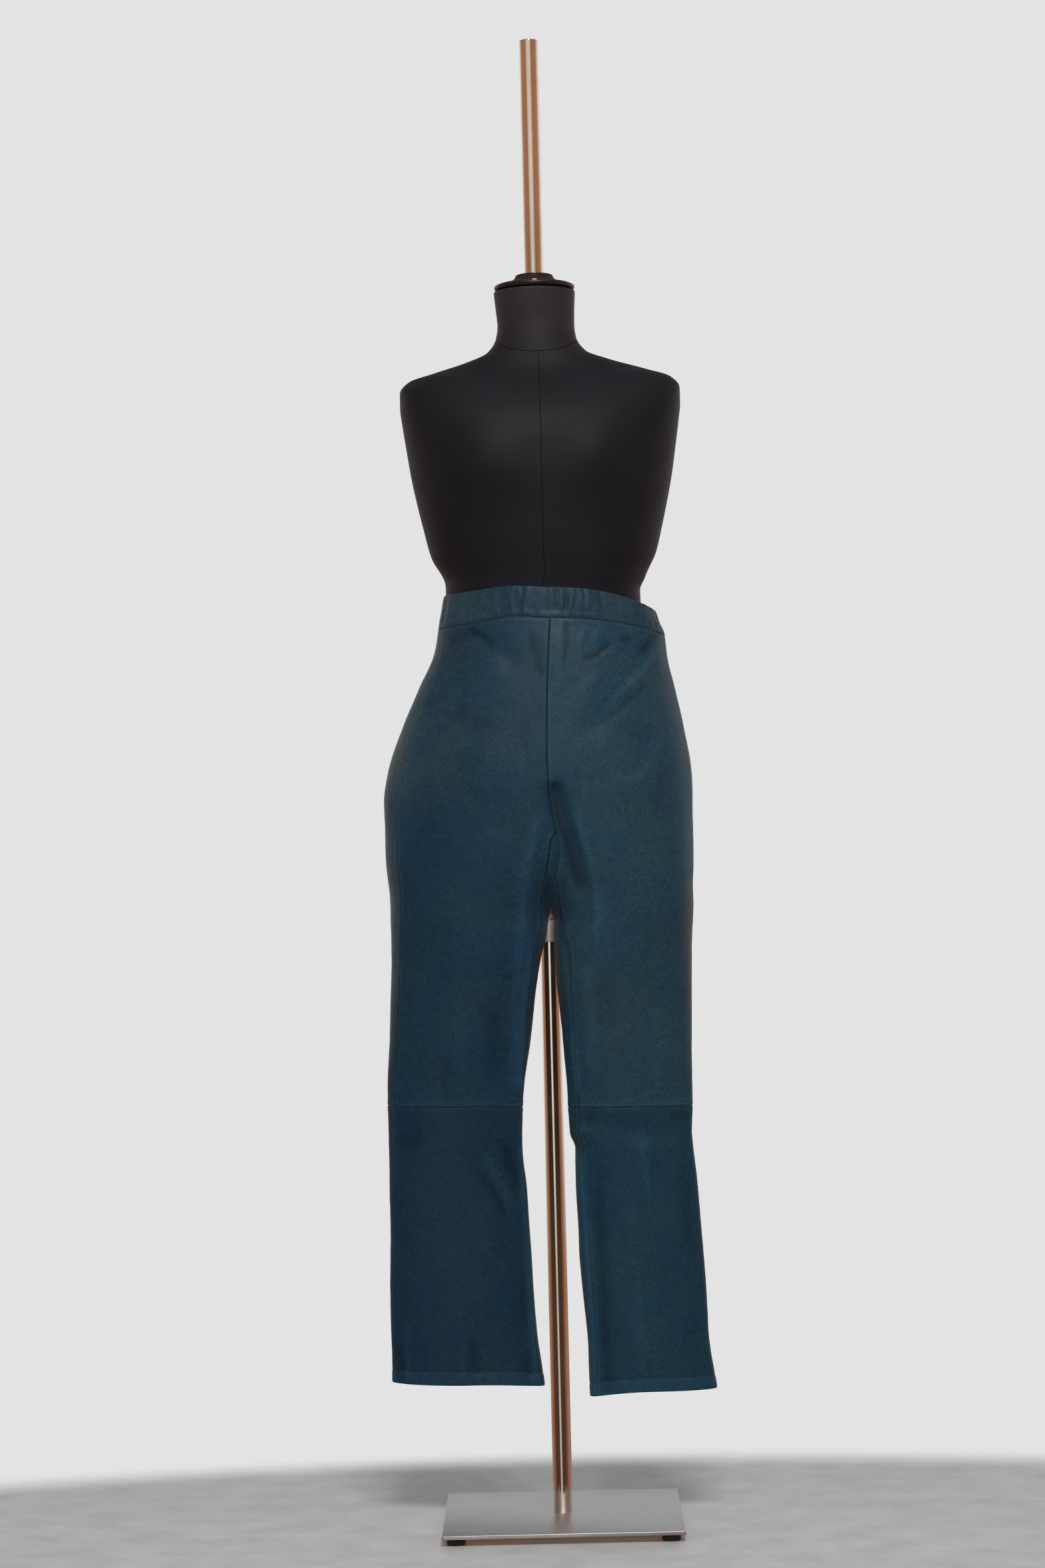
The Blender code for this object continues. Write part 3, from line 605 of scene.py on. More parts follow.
def broadFoldDepth(x, z):
    total = np.zeros_like(x)
    for x0, z0, x1, z1, width, depth in broadFolds:
        run = np.array([x1 - x0, z1 - z0], float)
        length = np.hypot(*run)
        along = ((x - x0) * run[0] + (z - z0) * run[1]) / length**2
        beyond = np.maximum(0, np.abs(along - 0.5) - 0.5) * length
        across = ((x - x0) * run[1] - (z - z0) * run[0]) / length
        total += depth * np.exp(-((np.hypot(across, beyond) / width) ** 2))
    return total


def rowPoints(leg, level, angles):
    # one level's points in millimetres, from the inner front round the outside to the inner back
    section = sectionAt(leg, level)
    angles = (np.asarray(angles, float) + 180) % 360 - 180
    angles = np.where(angles == -180, 180, angles)
    turnedBy = np.radians(angles)
    isFront = angles < 0
    front, back = section["frontArc"], section["backArc"]
    middle = np.where(isFront, front["middle"], back["middle"])
    halfWidth = np.where(isFront, front["half"], back["half"])
    depth = np.where(isFront, section["front"], section["back"])
    out = middle + halfWidth * rounded(np.cos(turnedBy), section["round"])
    y = depth * rounded(np.sin(turnedBy), section["round"])
    inward = (section["out"] - out) / (section["out"] - section["inner"])
    y = y - section["lean"] * inward**2
    eye = section["room"] * (1 - (y / (1.25 * section["room"])) ** 2)
    out = (out + eye + np.sqrt((out - eye) ** 2 + cut["eyeBlend"] ** 2)) / 2
    facing = np.sin(turnedBy) ** 2
    side = np.where(np.abs(angles) < 90, section["tiltside"], section["tiltinner"])
    centre = np.where(isFront, section["tiltfront"], section["tiltback"])
    z = level + facing * centre + (1 - facing) * side
    x = leg["sign"] * out
    nearWaist = min(max((level - waistRise["from"]) / (cut["waist"] - waistRise["from"]), 0), 1)
    rise = waistRise["height"] * np.exp(-(((x - waistRise["middle"]) / waistRise["width"]) ** 2))
    z = z + np.where(isFront, facing * nearWaist * rise, 0)
    y = np.where(isFront, y + broadFoldDepth(x, z) * facing, y)
    return np.stack([x, y, z], axis=1)


def rowNormals(leg, level, angles):
    turn = rowPoints(leg, level, angles + 0.4) - rowPoints(leg, level, angles - 0.4)
    rise = rowPoints(leg, level + 0.8, angles) - rowPoints(leg, level - 0.8, angles)
    return unitVectors(np.cross(turn, rise) * leg["sign"])


def foldAlong(width, height, *path, tone=0.0, ends=(0.3, 0.3)):
    # one crease: its width, its height out of the cloth (minus is a trough), its path as (x, z) points,
    # its painted tone (plus is a painted highlight, minus painted shade), and the shares of the path over
    # which its two ends fade
    return {"width": width, "height": height, "path": path, "tone": tone, "ends": ends}


# creases of the front, as the camera sees them; their tones paint light and shade on the side the camera
# sees
frontCreases = [
    # under the waistband
    foldAlong(5, -0.8, (-125, 1161), (-109, 1172), (-98, 1181), tone=-0.25),
    foldAlong(5, -0.7, (-101, 1187), (-90, 1177), (-75, 1169), (-66, 1159), (-60, 1145), tone=-0.47,
              ends=(0.15, 0.5)),
    foldAlong(6, 0.6, (-87, 1186), (-67, 1175), (-55, 1156), tone=0.07),
    foldAlong(7, -0.9, (-15, 1186), (-17, 1164), (-11, 1143), (-6, 1125), (-11, 1104), tone=-0.25),
    foldAlong(3.6, -0.7, (33, 1189), (33, 1166), (29, 1142), (24, 1113), tone=-0.43, ends=(0.05, 0.4)),
    foldAlong(5, 0.4, (24, 1191), (23, 1151), (20, 1116), (18, 1090), tone=0.2, ends=(0.05, 0.4)),
    foldAlong(4, 0.7, (60, 1185), (53, 1168), (42, 1148), tone=0.2),
    foldAlong(5, -0.7, (95, 1168), (82, 1152), (68, 1142), (47, 1136), tone=-0.45),
    foldAlong(4.5, -0.5, (118, 1171), (102, 1157), tone=-0.43),
    foldAlong(3, 0.6, (76, 1179), (66, 1158), tone=0.18),
    foldAlong(4, 0.6, (102, 1161), (86, 1147), (75, 1135), tone=0.12),
    foldAlong(5, -0.8, (158, 1174), (143, 1164), (133, 1151), (125, 1137), tone=-0.45, ends=(0.1, 0.3)),
    foldAlong(3.5, 1.3, (162, 1156), (146, 1144), (133, 1123), (117, 1108), (97, 1089), (81, 1073),
              tone=0.35),
    foldAlong(4.5, -0.3, (143, 1116), (130, 1100), (109, 1081), (86, 1061), (68, 1046), tone=-0.38),
    foldAlong(6, 0.6, (76, 1125), (60, 1107), (49, 1088), tone=0.15),
    foldAlong(6, 0.6, (87, 1112), (101, 1108), tone=0.18),
    # hips and lap
    foldAlong(7, -0.8, (-142, 1098), (-159, 1079), tone=-0.18),
    foldAlong(18, -1, (-127, 1087), (-103, 1066), (-84, 1048), (-70, 1033), tone=-0.19),
    foldAlong(18, -0.8, (-112, 1027), (-101, 987), tone=-0.15),
    foldAlong(10, 0.8, (-10, 1060), (-11, 998), tone=0.12),
    foldAlong(8, 0.5, (-32, 1025), (-36, 985), tone=0.1),
    foldAlong(7, 1.2, (168, 1055), (150, 1024), (139, 996), (121, 977), (96, 974), (75, 989), tone=0.15),
    foldAlong(6, -0.8, (153, 996), (146, 955), (146, 919), tone=-0.18),
    foldAlong(16, -0.8, (128, 1058), (116, 1023), tone=-0.12),
    foldAlong(12, 0.5, (-96, 901), (-36, 900), tone=0.09),
    foldAlong(17, 0, (-140, 1155), (-162, 1098), (-181, 1037), (-191, 958), (-195, 870), tone=0.28,
              ends=(0.15, 0.2)),
    foldAlong(12, 0, (164, 1117), (175, 1055), (182, 985), (185, 905), (183, 817), tone=0.24,
              ends=(0.15, 0.2)),
    # crotch
    foldAlong(9.5, -4, (10, 980), (12, 955), (18, 930), (26, 908), (31, 886), (36, 865), (42, 845),
              (49, 825), (56, 804), tone=-0.5, ends=(0.05, 0.3)),
    foldAlong(5, 1.6, (34, 953), (44, 913), (54, 878), (61, 842), (64, 803), (61, 767), (57, 741),
              tone=0.34, ends=(0.2, 0.2)),
    foldAlong(5, -0.8, (-3, 879), (-2, 839), (-8, 804), tone=-0.26),
    foldAlong(6, 0, (21, 865), (17, 821), (19, 777), tone=-0.25),
    # right thigh
    foldAlong(8.5, 2.2, (-11, 941), (-19, 903), (-29, 866), (-35, 822), (-36, 778), (-41, 743),
              (-44, 691), (-46, 638), (-51, 594), (-51, 561), tone=0.42, ends=(0.08, 0.06)),
    foldAlong(4, 0, (-22, 787), (-29, 743), (-36, 690), (-42, 638), (-45, 563), tone=0.5,
              ends=(0.1, 0.1)),
    foldAlong(3, -1.2, (-65, 721), (-47, 722), tone=-0.3),
    foldAlong(3, -1, (-67, 623), (-50, 626), tone=-0.22),
    foldAlong(11, -1.4, (-75, 709), (-76, 639), (-76, 573), tone=-0.24),
    foldAlong(9, 0.5, (-117, 701), (-119, 565), tone=0.12),
    foldAlong(6, -0.5, (-141, 631), (-141, 559), tone=-0.14, ends=(0.3, 0.05)),
    foldAlong(8, 0.5, (-176, 747), (-178, 641), tone=0.09),
    # right shin
    foldAlong(8, -1, (-214, 510), (-191, 507), (-167, 512), tone=-0.22),
    foldAlong(9, -1.2, (-72, 512), (-62, 489), (-54, 458), (-49, 431), tone=-0.34, ends=(0.3, 0.3)),
    foldAlong(6.5, -1.2, (-106, 476), (-91, 450), (-75, 427), (-66, 396), tone=-0.36),
    foldAlong(6, 1.2, (-95, 500), (-78, 461), (-63, 427), (-52, 400), tone=0.26),
    foldAlong(6, 0.4, (-113, 437), (-99, 393), (-85, 339), tone=0.13),
    foldAlong(7, -0.5, (-75, 383), (-65, 335), tone=-0.14),
    foldAlong(6, -0.6, (-52, 392), (-47, 303), (-44, 206), tone=-0.1),
    foldAlong(4, 0, (-46, 523), (-43, 435), (-40, 347), (-36, 259), (-33, 187), tone=0.45, ends=(0.1, 0)),
    foldAlong(2, 1, (-203, 274), (-202, 237), (-201, 184), tone=0.45, ends=(0.05, 0)),
    foldAlong(5, -0.8, (-212, 246), (-210, 191), tone=-0.2, ends=(0.3, 0)),
    foldAlong(7, -2, (-119, 252), (-112, 230), (-110, 208), (-108, 194), tone=-0.3, ends=(0.35, 0.1)),
    foldAlong(4, 1, (-125, 252), (-128, 222), (-126, 186), tone=0.2, ends=(0.2, 0)),
    foldAlong(6, -0.6, (-99, 291), (-121, 274), tone=-0.16),
    foldAlong(8, -0.8, (-43, 224), (-40, 194), tone=-0.25, ends=(0.3, 0.1)),
    # left thigh
    foldAlong(10, 1, (46, 741), (47, 688), (49, 636), (50, 578), tone=0.2, ends=(0.1, 0.2)),
    foldAlong(4, 0, (15, 777), (21, 724), (26, 663), (30, 601), (33, 557), tone=0.5, ends=(0.1, 0.1)),
    foldAlong(12, -0.9, (76, 732), (75, 626), tone=-0.1),
    foldAlong(10, 0.5, (140, 704), (136, 563), tone=0.08),
    # left knee and shin
    foldAlong(9, -0.4, (61, 528), (113, 525), (177, 531), tone=-0.03, ends=(0.1, 0.1)),
    foldAlong(5.5, -1.4, (50, 548), (43, 520), tone=-0.3),
    foldAlong(2, 1.2, (25, 512), (38, 518), (50, 512), tone=0.25),
    foldAlong(7, -0.8, (152, 536), (177, 532), tone=-0.18, ends=(0.3, 0)),
    foldAlong(7, 1, (117, 520), (118, 489), (121, 453), (126, 416), tone=0.3),
    foldAlong(6, 0.5, (101, 441), (98, 379), tone=0.14),
    foldAlong(10, 0.6, (109, 322), (105, 256), (109, 207), tone=0.16),
    foldAlong(7.5, -0.5, (62, 494), (56, 424), (59, 336), (61, 257), (63, 178), tone=-0.26,
              ends=(0.3, 0)),
    foldAlong(8, -0.6, (167, 474), (171, 421), (174, 333), tone=-0.2),
    foldAlong(6, 0.6, (32, 500), (36, 433), (40, 354), (44, 266), (47, 167), tone=0.75, ends=(0.1, 0)),
]
# the same kinds of crease on the back, where the cloth hangs from the seat
backCreases = [
    foldAlong(7, -2.0, (-110, 1195), (-84, 1170), (-62, 1140)),
    foldAlong(7, -2.0, (104, 1195), (82, 1166), (66, 1132)),
    foldAlong(4, 1.4, (-40, 1205), (-32, 1175), (-22, 1150)),
    foldAlong(4, 1.3, (34, 1205), (28, 1172), (18, 1148)),
    foldAlong(9, 1.6, (-150, 1150), (-112, 1100), (-60, 1062)),
    foldAlong(9, 1.7, (148, 1142), (116, 1098), (66, 1058)),
    foldAlong(9, -3.6, (-20, 930), (-70, 905), (-130, 900), (-185, 915)),
    foldAlong(8, 2.2, (-30, 900), (-80, 876), (-140, 872)),
    foldAlong(9, -2.6, (-40, 876), (-92, 850), (-150, 848)),
    foldAlong(9, -3.4, (24, 934), (72, 908), (124, 900), (170, 912)),
    foldAlong(8, 2.0, (34, 902), (84, 880), (136, 876)),
    foldAlong(9, -2.4, (44, 872), (94, 850), (146, 852)),
    foldAlong(13, 1.9, (-60, 800), (-66, 700), (-74, 600)),
    foldAlong(17, -1.8, (-140, 790), (-150, 690), (-146, 590)),
    foldAlong(13, 1.8, (58, 800), (66, 700), (70, 600)),
    foldAlong(16, -1.6, (130, 780), (138, 690), (134, 600)),
    foldAlong(8, -2.6, (-200, 560), (-150, 540), (-90, 545), (-50, 532)),
    foldAlong(8, 1.6, (-206, 520), (-150, 508), (-100, 516)),
    foldAlong(8, -2.5, (34, 540), (80, 528), (130, 536), (172, 526)),
    foldAlong(7, 1.5, (40, 500), (90, 496), (140, 506)),
    foldAlong(16, -1.6, (-168, 480), (-160, 380), (-168, 270)),
    foldAlong(14, 1.3, (-90, 470), (-96, 370), (-88, 250)),
    foldAlong(14, -1.5, (84, 470), (92, 370), (86, 260)),
    foldAlong(15, 1.2, (150, 460), (156, 360), (162, 250)),
    foldAlong(2.6, 1.6, (-150, 250), (-154, 214), (-150, 160), ends=(0.3, 0)),
    foldAlong(3, -1.4, (-70, 240), (-66, 208), (-70, 160), ends=(0.3, 0)),
    foldAlong(2.6, 1.5, (110, 240), (106, 200), (112, 146), ends=(0.3, 0)),
]


flatView = {"distance": 4595, "across": -31, "up": 975.5}


def seenFromCamera(points):
    # where points lie on a flat view from the camera, in millimetres at the pole
    place = np.array(view["place"])
    forward = np.array(view["aim"]) - place
    forward /= np.linalg.norm(forward)
    right = np.cross(forward, (0, 0, 1))
    right /= np.linalg.norm(right)
    offset = points * mm - place
    depth = offset @ forward
    across = flatView["across"] + flatView["distance"] * (offset @ right) / depth
    up = flatView["up"] + flatView["distance"] * (offset @ np.cross(right, forward)) / depth
    return across, up


def creaseShare(crease, x, z):
    # how strongly a crease acts at each point, from 0 to 1
    path = np.array(crease["path"], float)
    runs = np.diff(path, axis=0)
    lengths = np.hypot(runs[:, 0], runs[:, 1])
    before = np.concatenate([[0], np.cumsum(lengths)])
    nearest = np.full(x.shape, np.inf)
    along = np.zeros_like(x)
    for start, run, length, covered in zip(path, runs, lengths, before):
        dx, dz = x - start[0], z - start[1]
        share = np.clip((dx * run[0] + dz * run[1]) / length**2, 0, 1)
        distance = np.hypot(dx - share * run[0], dz - share * run[1])
        closer = distance < nearest
        nearest = np.where(closer, distance, nearest)
        along = np.where(closer, (covered + share * length) / before[-1], along)
    fadeIn, fadeOut = crease["ends"]
    strength = smoothStep(along / max(fadeIn, 1e-3))
    if fadeOut > 0:
        strength = strength * smoothStep((1 - along) / fadeOut)
    return strength * np.exp(-((nearest / crease["width"]) ** 2))


def waves(points, seed, shortest, longest, count=14):
    # slow unevenness: a sum of plane waves with fixed random directions
    random = np.random.default_rng(seed)
    directions = random.normal(size=(count, 3))
    directions /= np.linalg.norm(directions, axis=1, keepdims=True)
    lengths = np.exp(random.uniform(np.log(shortest), np.log(longest), count))
    phases = random.uniform(0, math.tau, count)
    angle = points @ (directions * (math.tau / lengths)[:, None]).T + phases
    return np.sin(angle).sum(axis=1) / math.sqrt(count)


# the seam allowance beside the centre front
centreStrip = {"width": 19, "height": 0.75, "soft": 3.0, "top": 1186, "bottom": 1092}


def clothRelief(leg, points, normals):
    # height of the cloth out of its plain form in millimetres, and its painted light and shade
    x, z = points[:, 0], points[:, 2]
    seenX, seenZ = seenFromCamera(points)
    isFront = smoothStep((-normals[:, 1] - 0.02) / 0.3)
    isSeen = smoothStep((-normals[:, 1] + 0.06) / 0.15)
    isBack = smoothStep((normals[:, 1] - 0.02) / 0.3)
    height = np.zeros(len(points))
    tone = np.zeros(len(points))
    for crease in frontCreases:
        shape = creaseShare(crease, seenX, seenZ)
        height += crease["height"] * isFront * shape
        tone += crease["tone"] * isSeen * shape
    for crease in backCreases:
        share = isBack * creaseShare(crease, x, z)
        height += crease["height"] * share
        tone += cut["backCreaseShading"] * crease["height"] * share
    height += cut["unevenness"] * waves(points, 7, 55, 120)
    height += cut["ripples"] * waves(points, 8, 16, 34)
    if leg["sign"] > 0:
        # seam allowance turned to this side of the centre front
        levels = np.clip(z, cut["crotch"], cut["bandTop"])
        line = np.array([readTable(leg["sections"], sectionNames, "inner", level) for level in levels])
        strip = smoothStep((centreStrip["width"] - x + line) / centreStrip["soft"])
        reach = smoothStep((z - centreStrip["bottom"]) / (centreStrip["top"] - centreStrip["bottom"]))
        height += isFront * centreStrip["height"] * strip * reach
    else:
        # the painted shade of the hollow beside the centre seam belongs on the other leg's cloth, so here it
        # is held back
        lowest = -0.12 - 0.9 * smoothStep((z - 990) / 60)
        tone = np.where(z > cut["crotch"] - 10, np.maximum(tone, lowest), tone)
    return height, tone


# how far from an edge the closely set rows lie
fineSteps = (0, 0.25, 0.55, 0.95, 1.5, 2.4, 3.8, 5.6, 7.6, 10)


def stations(length, startGap, endGap, count):
    # distances along a line, close together at both ends
    scale = min(1.0, length / (3.2 * fineSteps[-1]))
    fine = np.array(fineSteps) * scale
    inner = np.linspace(startGap + fine[-1], length - endGap - fine[-1], count + 1)[1:-1]
    return np.concatenate([startGap + fine, inner, length - endGap - fine[::-1]])


def alongRow(leg, level, startAngle, endAngle, startGap, endGap, count):
    # angles at even distances along one row, and their distances from both ends
    angles = np.linspace(startAngle, endAngle, 260)
    points = rowPoints(leg, level, angles)
    run = runAlong(points)
    at = stations(run[-1], startGap, endGap, count)
    return np.interp(at, run, angles), at, run[-1] - at


def quarterRound(share):
    share = np.clip(share, 0, 1)
    return 1 - np.sqrt(np.maximum(1 - share**2, 0))


def rollOff(distance):
    # the cloth turns down into a seam over the last stretch before it
    return cut["rollDepth"] * quarterRound(1 - distance / cut["rollWidth"])


def allowance(distance):
    width = cut["allowanceWidth"]
    return cut["allowanceHeight"] * smoothStep((width + 1.2 - distance) / 2.4) * smoothStep(distance / 1.4)


def levelRows(top, bottom, topGap, bottomGap):
    count = max(2, round((top - bottom) / cut["spacing"]))
    return top - stations(top - bottom, topGap, bottomGap, count)


def innerAngle(leg, section, level):
    if level >= leg["inseamTop"]:
        return -section["frontArc"]["angle"]
    inset = readTable(leg["seams"], seamNames, "inner", level)
    return -insetAngle(section, inset, False)


def sideAngle(leg, section, level):
    return -insetAngle(section, readTable(leg["seams"], seamNames, "side", level), True)


def clothGrid(leg, levels, spans, count, seams):
    # spans gives each level's two end angles; seams says which of the four edges are sewn
    top, bottom = levels[0], levels[-1]
    rows = []
    for level in levels:
        section = sectionAt(leg, level)
        startAngle, endAngle, startSewn, endSewn = spans(section, level)
        gap = cut["seamGap"]
        angles, fromStart, fromEnd = alongRow(
            leg, level, startAngle, endAngle, gap * startSewn, gap * endSewn, count
        )
        points = rowPoints(leg, level, angles)
        normals = rowNormals(leg, level, angles)
        drop = np.zeros(len(angles))
        lift = np.zeros(len(angles))
        for distance, sewn in ((fromStart, startSewn), (fromEnd, endSewn)):
            drop = np.maximum(drop, sewn * rollOff(distance))
            lift = np.maximum(lift, sewn * allowance(distance))
        centre = cut["centreTone"] if level >= leg["inseamTop"] else 1.0
        shade = centre * startSewn * seamShading(fromStart) + endSewn * seamShading(fromEnd)
        for distance, sewn in ((top - level, seams["top"]), (level - bottom, seams["bottom"])):
            if sewn:
                distance = np.full(len(angles), distance)
                drop = np.maximum(drop, rollOff(distance))
                lift = np.maximum(lift, allowance(distance))
                shade = shade + seamShading(distance)
        # small puckers that die away from both seams
        atStart = cut["pucker"] * np.sin(level / 1.35 + 2.2 * np.sin(level / 23.0))
        atEnd = cut["pucker"] * np.sin(level / 1.2 + 2.0 * np.sin(level / 31.0))
        pucker = atStart * np.exp(-fromStart / 4) + atEnd * np.exp(-fromEnd / 4)
        rows.append((points, normals, lift - drop + pucker, shade))
    points, normals, offset, shade = (np.array(column) for column in zip(*rows))
    shape = offset.shape
    relief, tone = clothRelief(leg, points.reshape(-1, 3), normals.reshape(-1, 3))
    return points, normals, offset + relief.reshape(shape), tone.reshape(shape) + shade


def seamShading(distance):
    # painted tone beside a seam: painted shade down in its groove, a painted highlight on the fold next to
    # it
    groove = cut["grooveShade"] * np.exp(-(distance**2))
    return groove + cut["foldHighlight"] * np.exp(-(((distance - 3.4) / 1.6) ** 2))


def hemProfile(leg, levels):
    # a dip under the topstitch, a fuller turned-up hem, and the wall that it makes
    above = levels - leg["hem"]
    dip = -0.45 * np.exp(-(((above - cut["hemDepth"]) / 1.1) ** 2))
    full = 0.45 * smoothStep((cut["hemDepth"] - above) / 3) * smoothStep(above / 2)
    wall = np.where(above < cut["hemDepth"] + 1.5, cut["hemWall"], cut["wall"])
    turnIn = (cut["hemWall"] / 2) * quarterRound(1 - above / 1.1)
    return dip + full, wall, turnIn


def makeShell(name, grids, **details):
    # grids is a list of (outer points, inner points, tones, slot), each rows by columns;
    # they are joined where their points meet
    outerAll, innerAll, toneAll, faces, faceSlots, start = [], [], [], [], [], 0
    for outer, inner, tone, slot in grids:
        rows, columns = outer.shape[:2]
        toneAll.append(tone.reshape(-1))
        outerAll.append(outer.reshape(-1, 3))
        innerAll.append(inner.reshape(-1, 3))
        faces += gridFaces(rows, columns, False, start)
        faceSlots += [slot] * (len(faces) - len(faceSlots))
        start += rows * columns
    outerAll = np.concatenate(outerAll)
    innerAll = np.concatenate(innerAll)
    _, first, index = np.unique(np.round(outerAll, 3), axis=0, return_index=True, return_inverse=True)
    index = index.reshape(-1)
    outerAll, innerAll = outerAll[first], innerAll[first]
    tones = np.concatenate(toneAll)[first]
    clean, outerSlots = [], []
    for face, slot in zip(faces, faceSlots):
        corners = [index[corner] for corner in face]
        kept = [corner for i, corner in enumerate(corners) if corner != corners[i - 1]]
        if len(set(kept)) >= 3:
            clean.append(tuple(kept))
            outerSlots.append(slot)
    a, b, c = (outerAll[clean[len(clean) // 2][i]] for i in range(3))
    if np.dot(np.cross(b - a, c - a), a - innerAll[clean[len(clean) // 2][0]]) < 0:
        clean = [tuple(reversed(face)) for face in clean]
    edges = {(face[i - 1], face[i]) for face in clean for i in range(len(face))}
    total = len(outerAll)
    rim = [(end, start, start + total, end + total) for start, end in edges if (end, start) not in edges]
    inside = [tuple(corner + total for corner in reversed(face)) for face in clean]
    slots = outerSlots + [1] * len(inside) + [0] * len(rim)
    vertices = np.concatenate([outerAll, innerAll]) * mm
    warmth = details.pop("warmth")(outerAll)
    allFaces = clean + inside + sorted(rim)
    piece = addPiece(name, vertices, allFaces, details.pop("materials"), slots, **details)
    # painted light and shade, and the painted warm reflection, are stored on the points for the leather to
    # read
    for attribute, values in (("paintedLightTone", np.clip(tones, -0.55, 0.80)), ("warmth", warmth)):
        layer = piece.data.attributes.new(attribute, "FLOAT", "POINT")
        layer.data.foreach_set("value", np.tile(values, 2).astype(np.float32))
    return piece


def shellGrid(points, normals, offset, wall, turnIn):
    outer = points + normals * (offset - turnIn)[..., None]
    inner = points + normals * (offset - wall + turnIn)[..., None]
    return outer, inner


# each panel's cut size and area in metres, and its tone: painted light and shade that darkens or lightens a
# whole panel
panelSizes = {
    "rightFrontThigh": {"flat": (0.22, 0.67), "area": 0.122, "tone": (0.82, 0.89, 0.97)},
    "rightBackThigh": {"flat": (0.45, 0.76), "area": 0.214, "tone": (0.95, 0.95, 0.95)},
    "rightFrontShin": {"flat": (0.19, 0.37), "area": 0.065, "tone": (0.66, 0.70, 0.78)},
    "rightBackShin": {"flat": (0.26, 0.37), "area": 0.085, "tone": (0.88, 0.88, 0.88)},
    "leftFrontThigh": {"flat": (0.22, 0.66), "area": 0.127, "tone": (1.45, 1.20, 1.09)},
    "leftBackThigh": {"flat": (0.39, 0.76), "area": 0.185, "tone": (1.0, 1.0, 1.0)},
    "leftFrontShin": {"flat": (0.17, 0.38), "area": 0.059, "tone": (0.82, 0.94, 0.95)},
    "leftBackShin": {"flat": (0.22, 0.38), "area": 0.078, "tone": (0.92, 0.92, 0.92)},
}


# where the painted warm reflection begins, and over what length it grows
hipReflectionReach = {"from": 900, "tall": 95, "aside": 80, "wide": 80}


def paintedHipReflection(leg, at):
    # painted reflection: the dye is tinted warmer over the hips, more on the wearer's right and towards the
    # sides
    high = smoothStep((at[:, 2] - hipReflectionReach["from"]) / hipReflectionReach["tall"])
    aside = smoothStep((np.abs(at[:, 0]) - hipReflectionReach["aside"]) / hipReflectionReach["wide"])
    centre, side = leg["warmth"]
    return high * (centre + (side - centre) * aside)


def addLeg(name, leg):
    knee, hem = leg["knee"], leg["hem"]
    closing, gap = cut["closing"], cut["seamGap"]
    thighLevels = levelRows(cut["waist"], knee, gap, gap)
    # the level at which the leg closes is a row of its own
    nearest = int(np.argmin(np.abs(thighLevels - closing)))
    thighLevels[nearest] = closing
    shinLevels = levelRows(knee, hem, gap, 0)

    def frontSpan(section, level):
        return innerAngle(leg, section, level), sideAngle(leg, section, level), 1, 1

    def backSpan(section, level):
        return sideAngle(leg, section, level), section["backArc"]["angle"], 1, float(level > closing)

    def wrapSpan(section, level):
        start = -section["frontArc"]["angle"]
        return start, max(innerAngle(leg, section, level), start + 0.004), 0, 1

    def shinBackSpan(section, level):
        return sideAngle(leg, section, level), 360 + innerAngle(leg, section, level), 1, 1

    sewn = {"top": True, "bottom": True}
    hemmed = {"top": True, "bottom": False}
    wrapLevels = thighLevels[thighLevels < leg["inseamTop"] + cut["spacing"]]
    wrap = clothGrid(leg, wrapLevels, wrapSpan, 6, {"top": False, "bottom": True})
    grids = {
        "FrontThigh": [clothGrid(leg, thighLevels, frontSpan, 44, sewn)],
        "BackThigh": [clothGrid(leg, thighLevels, backSpan, 56, sewn), wrap],
        "FrontShin": [clothGrid(leg, shinLevels, frontSpan, 40, hemmed)],
        "BackShin": [clothGrid(leg, shinLevels, shinBackSpan, 46, hemmed)],
    }
    pieces = {}
    for panel, parts in grids.items():
        shells = []
        # the wrap strip between the legs takes the shaded copy of the leather
        for (points, normals, offset, tone), slot in zip(parts, (0, 2)):
            if "Shin" in panel:
                extra, wall, turnIn = (value[:, None] for value in hemProfile(leg, shinLevels))
                turnedUp = smoothStep((cut["hemDepth"] - shinLevels + hem) / 2)
                # painted highlight on the turned-up hem
                tone = tone + cut["hemHighlight"] * turnedUp[:, None]
            else:
                extra, wall, turnIn = 0.0, cut["wall"], np.zeros((1, 1))
            shells.append((*shellGrid(points, normals, offset + extra, wall, turnIn), tone, slot))
        piece = makeShell(
            name + panel, shells, materials=[leather, suede, shadedInnerLeather], slot="leather",
            warmth=lambda at: paintedHipReflection(leg, at),
        )
        # the panel's tone is painted light and shade, read by the leather as the object colour
        piece.color = (*panelSizes[name + panel]["tone"], 1.0)
        node = name + "_" + panel.replace("Thigh", "_thigh").replace("Shin", "_shin").lower()
        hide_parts(node)
        pieces[panel] = piece
    return pieces


for legName, legTable in legs.items():
    for panelName, panelPiece in addLeg(legName, legTable).items():
        panelPiece.visible_glossy = False   # so the polished tube between the legs mirrors the room


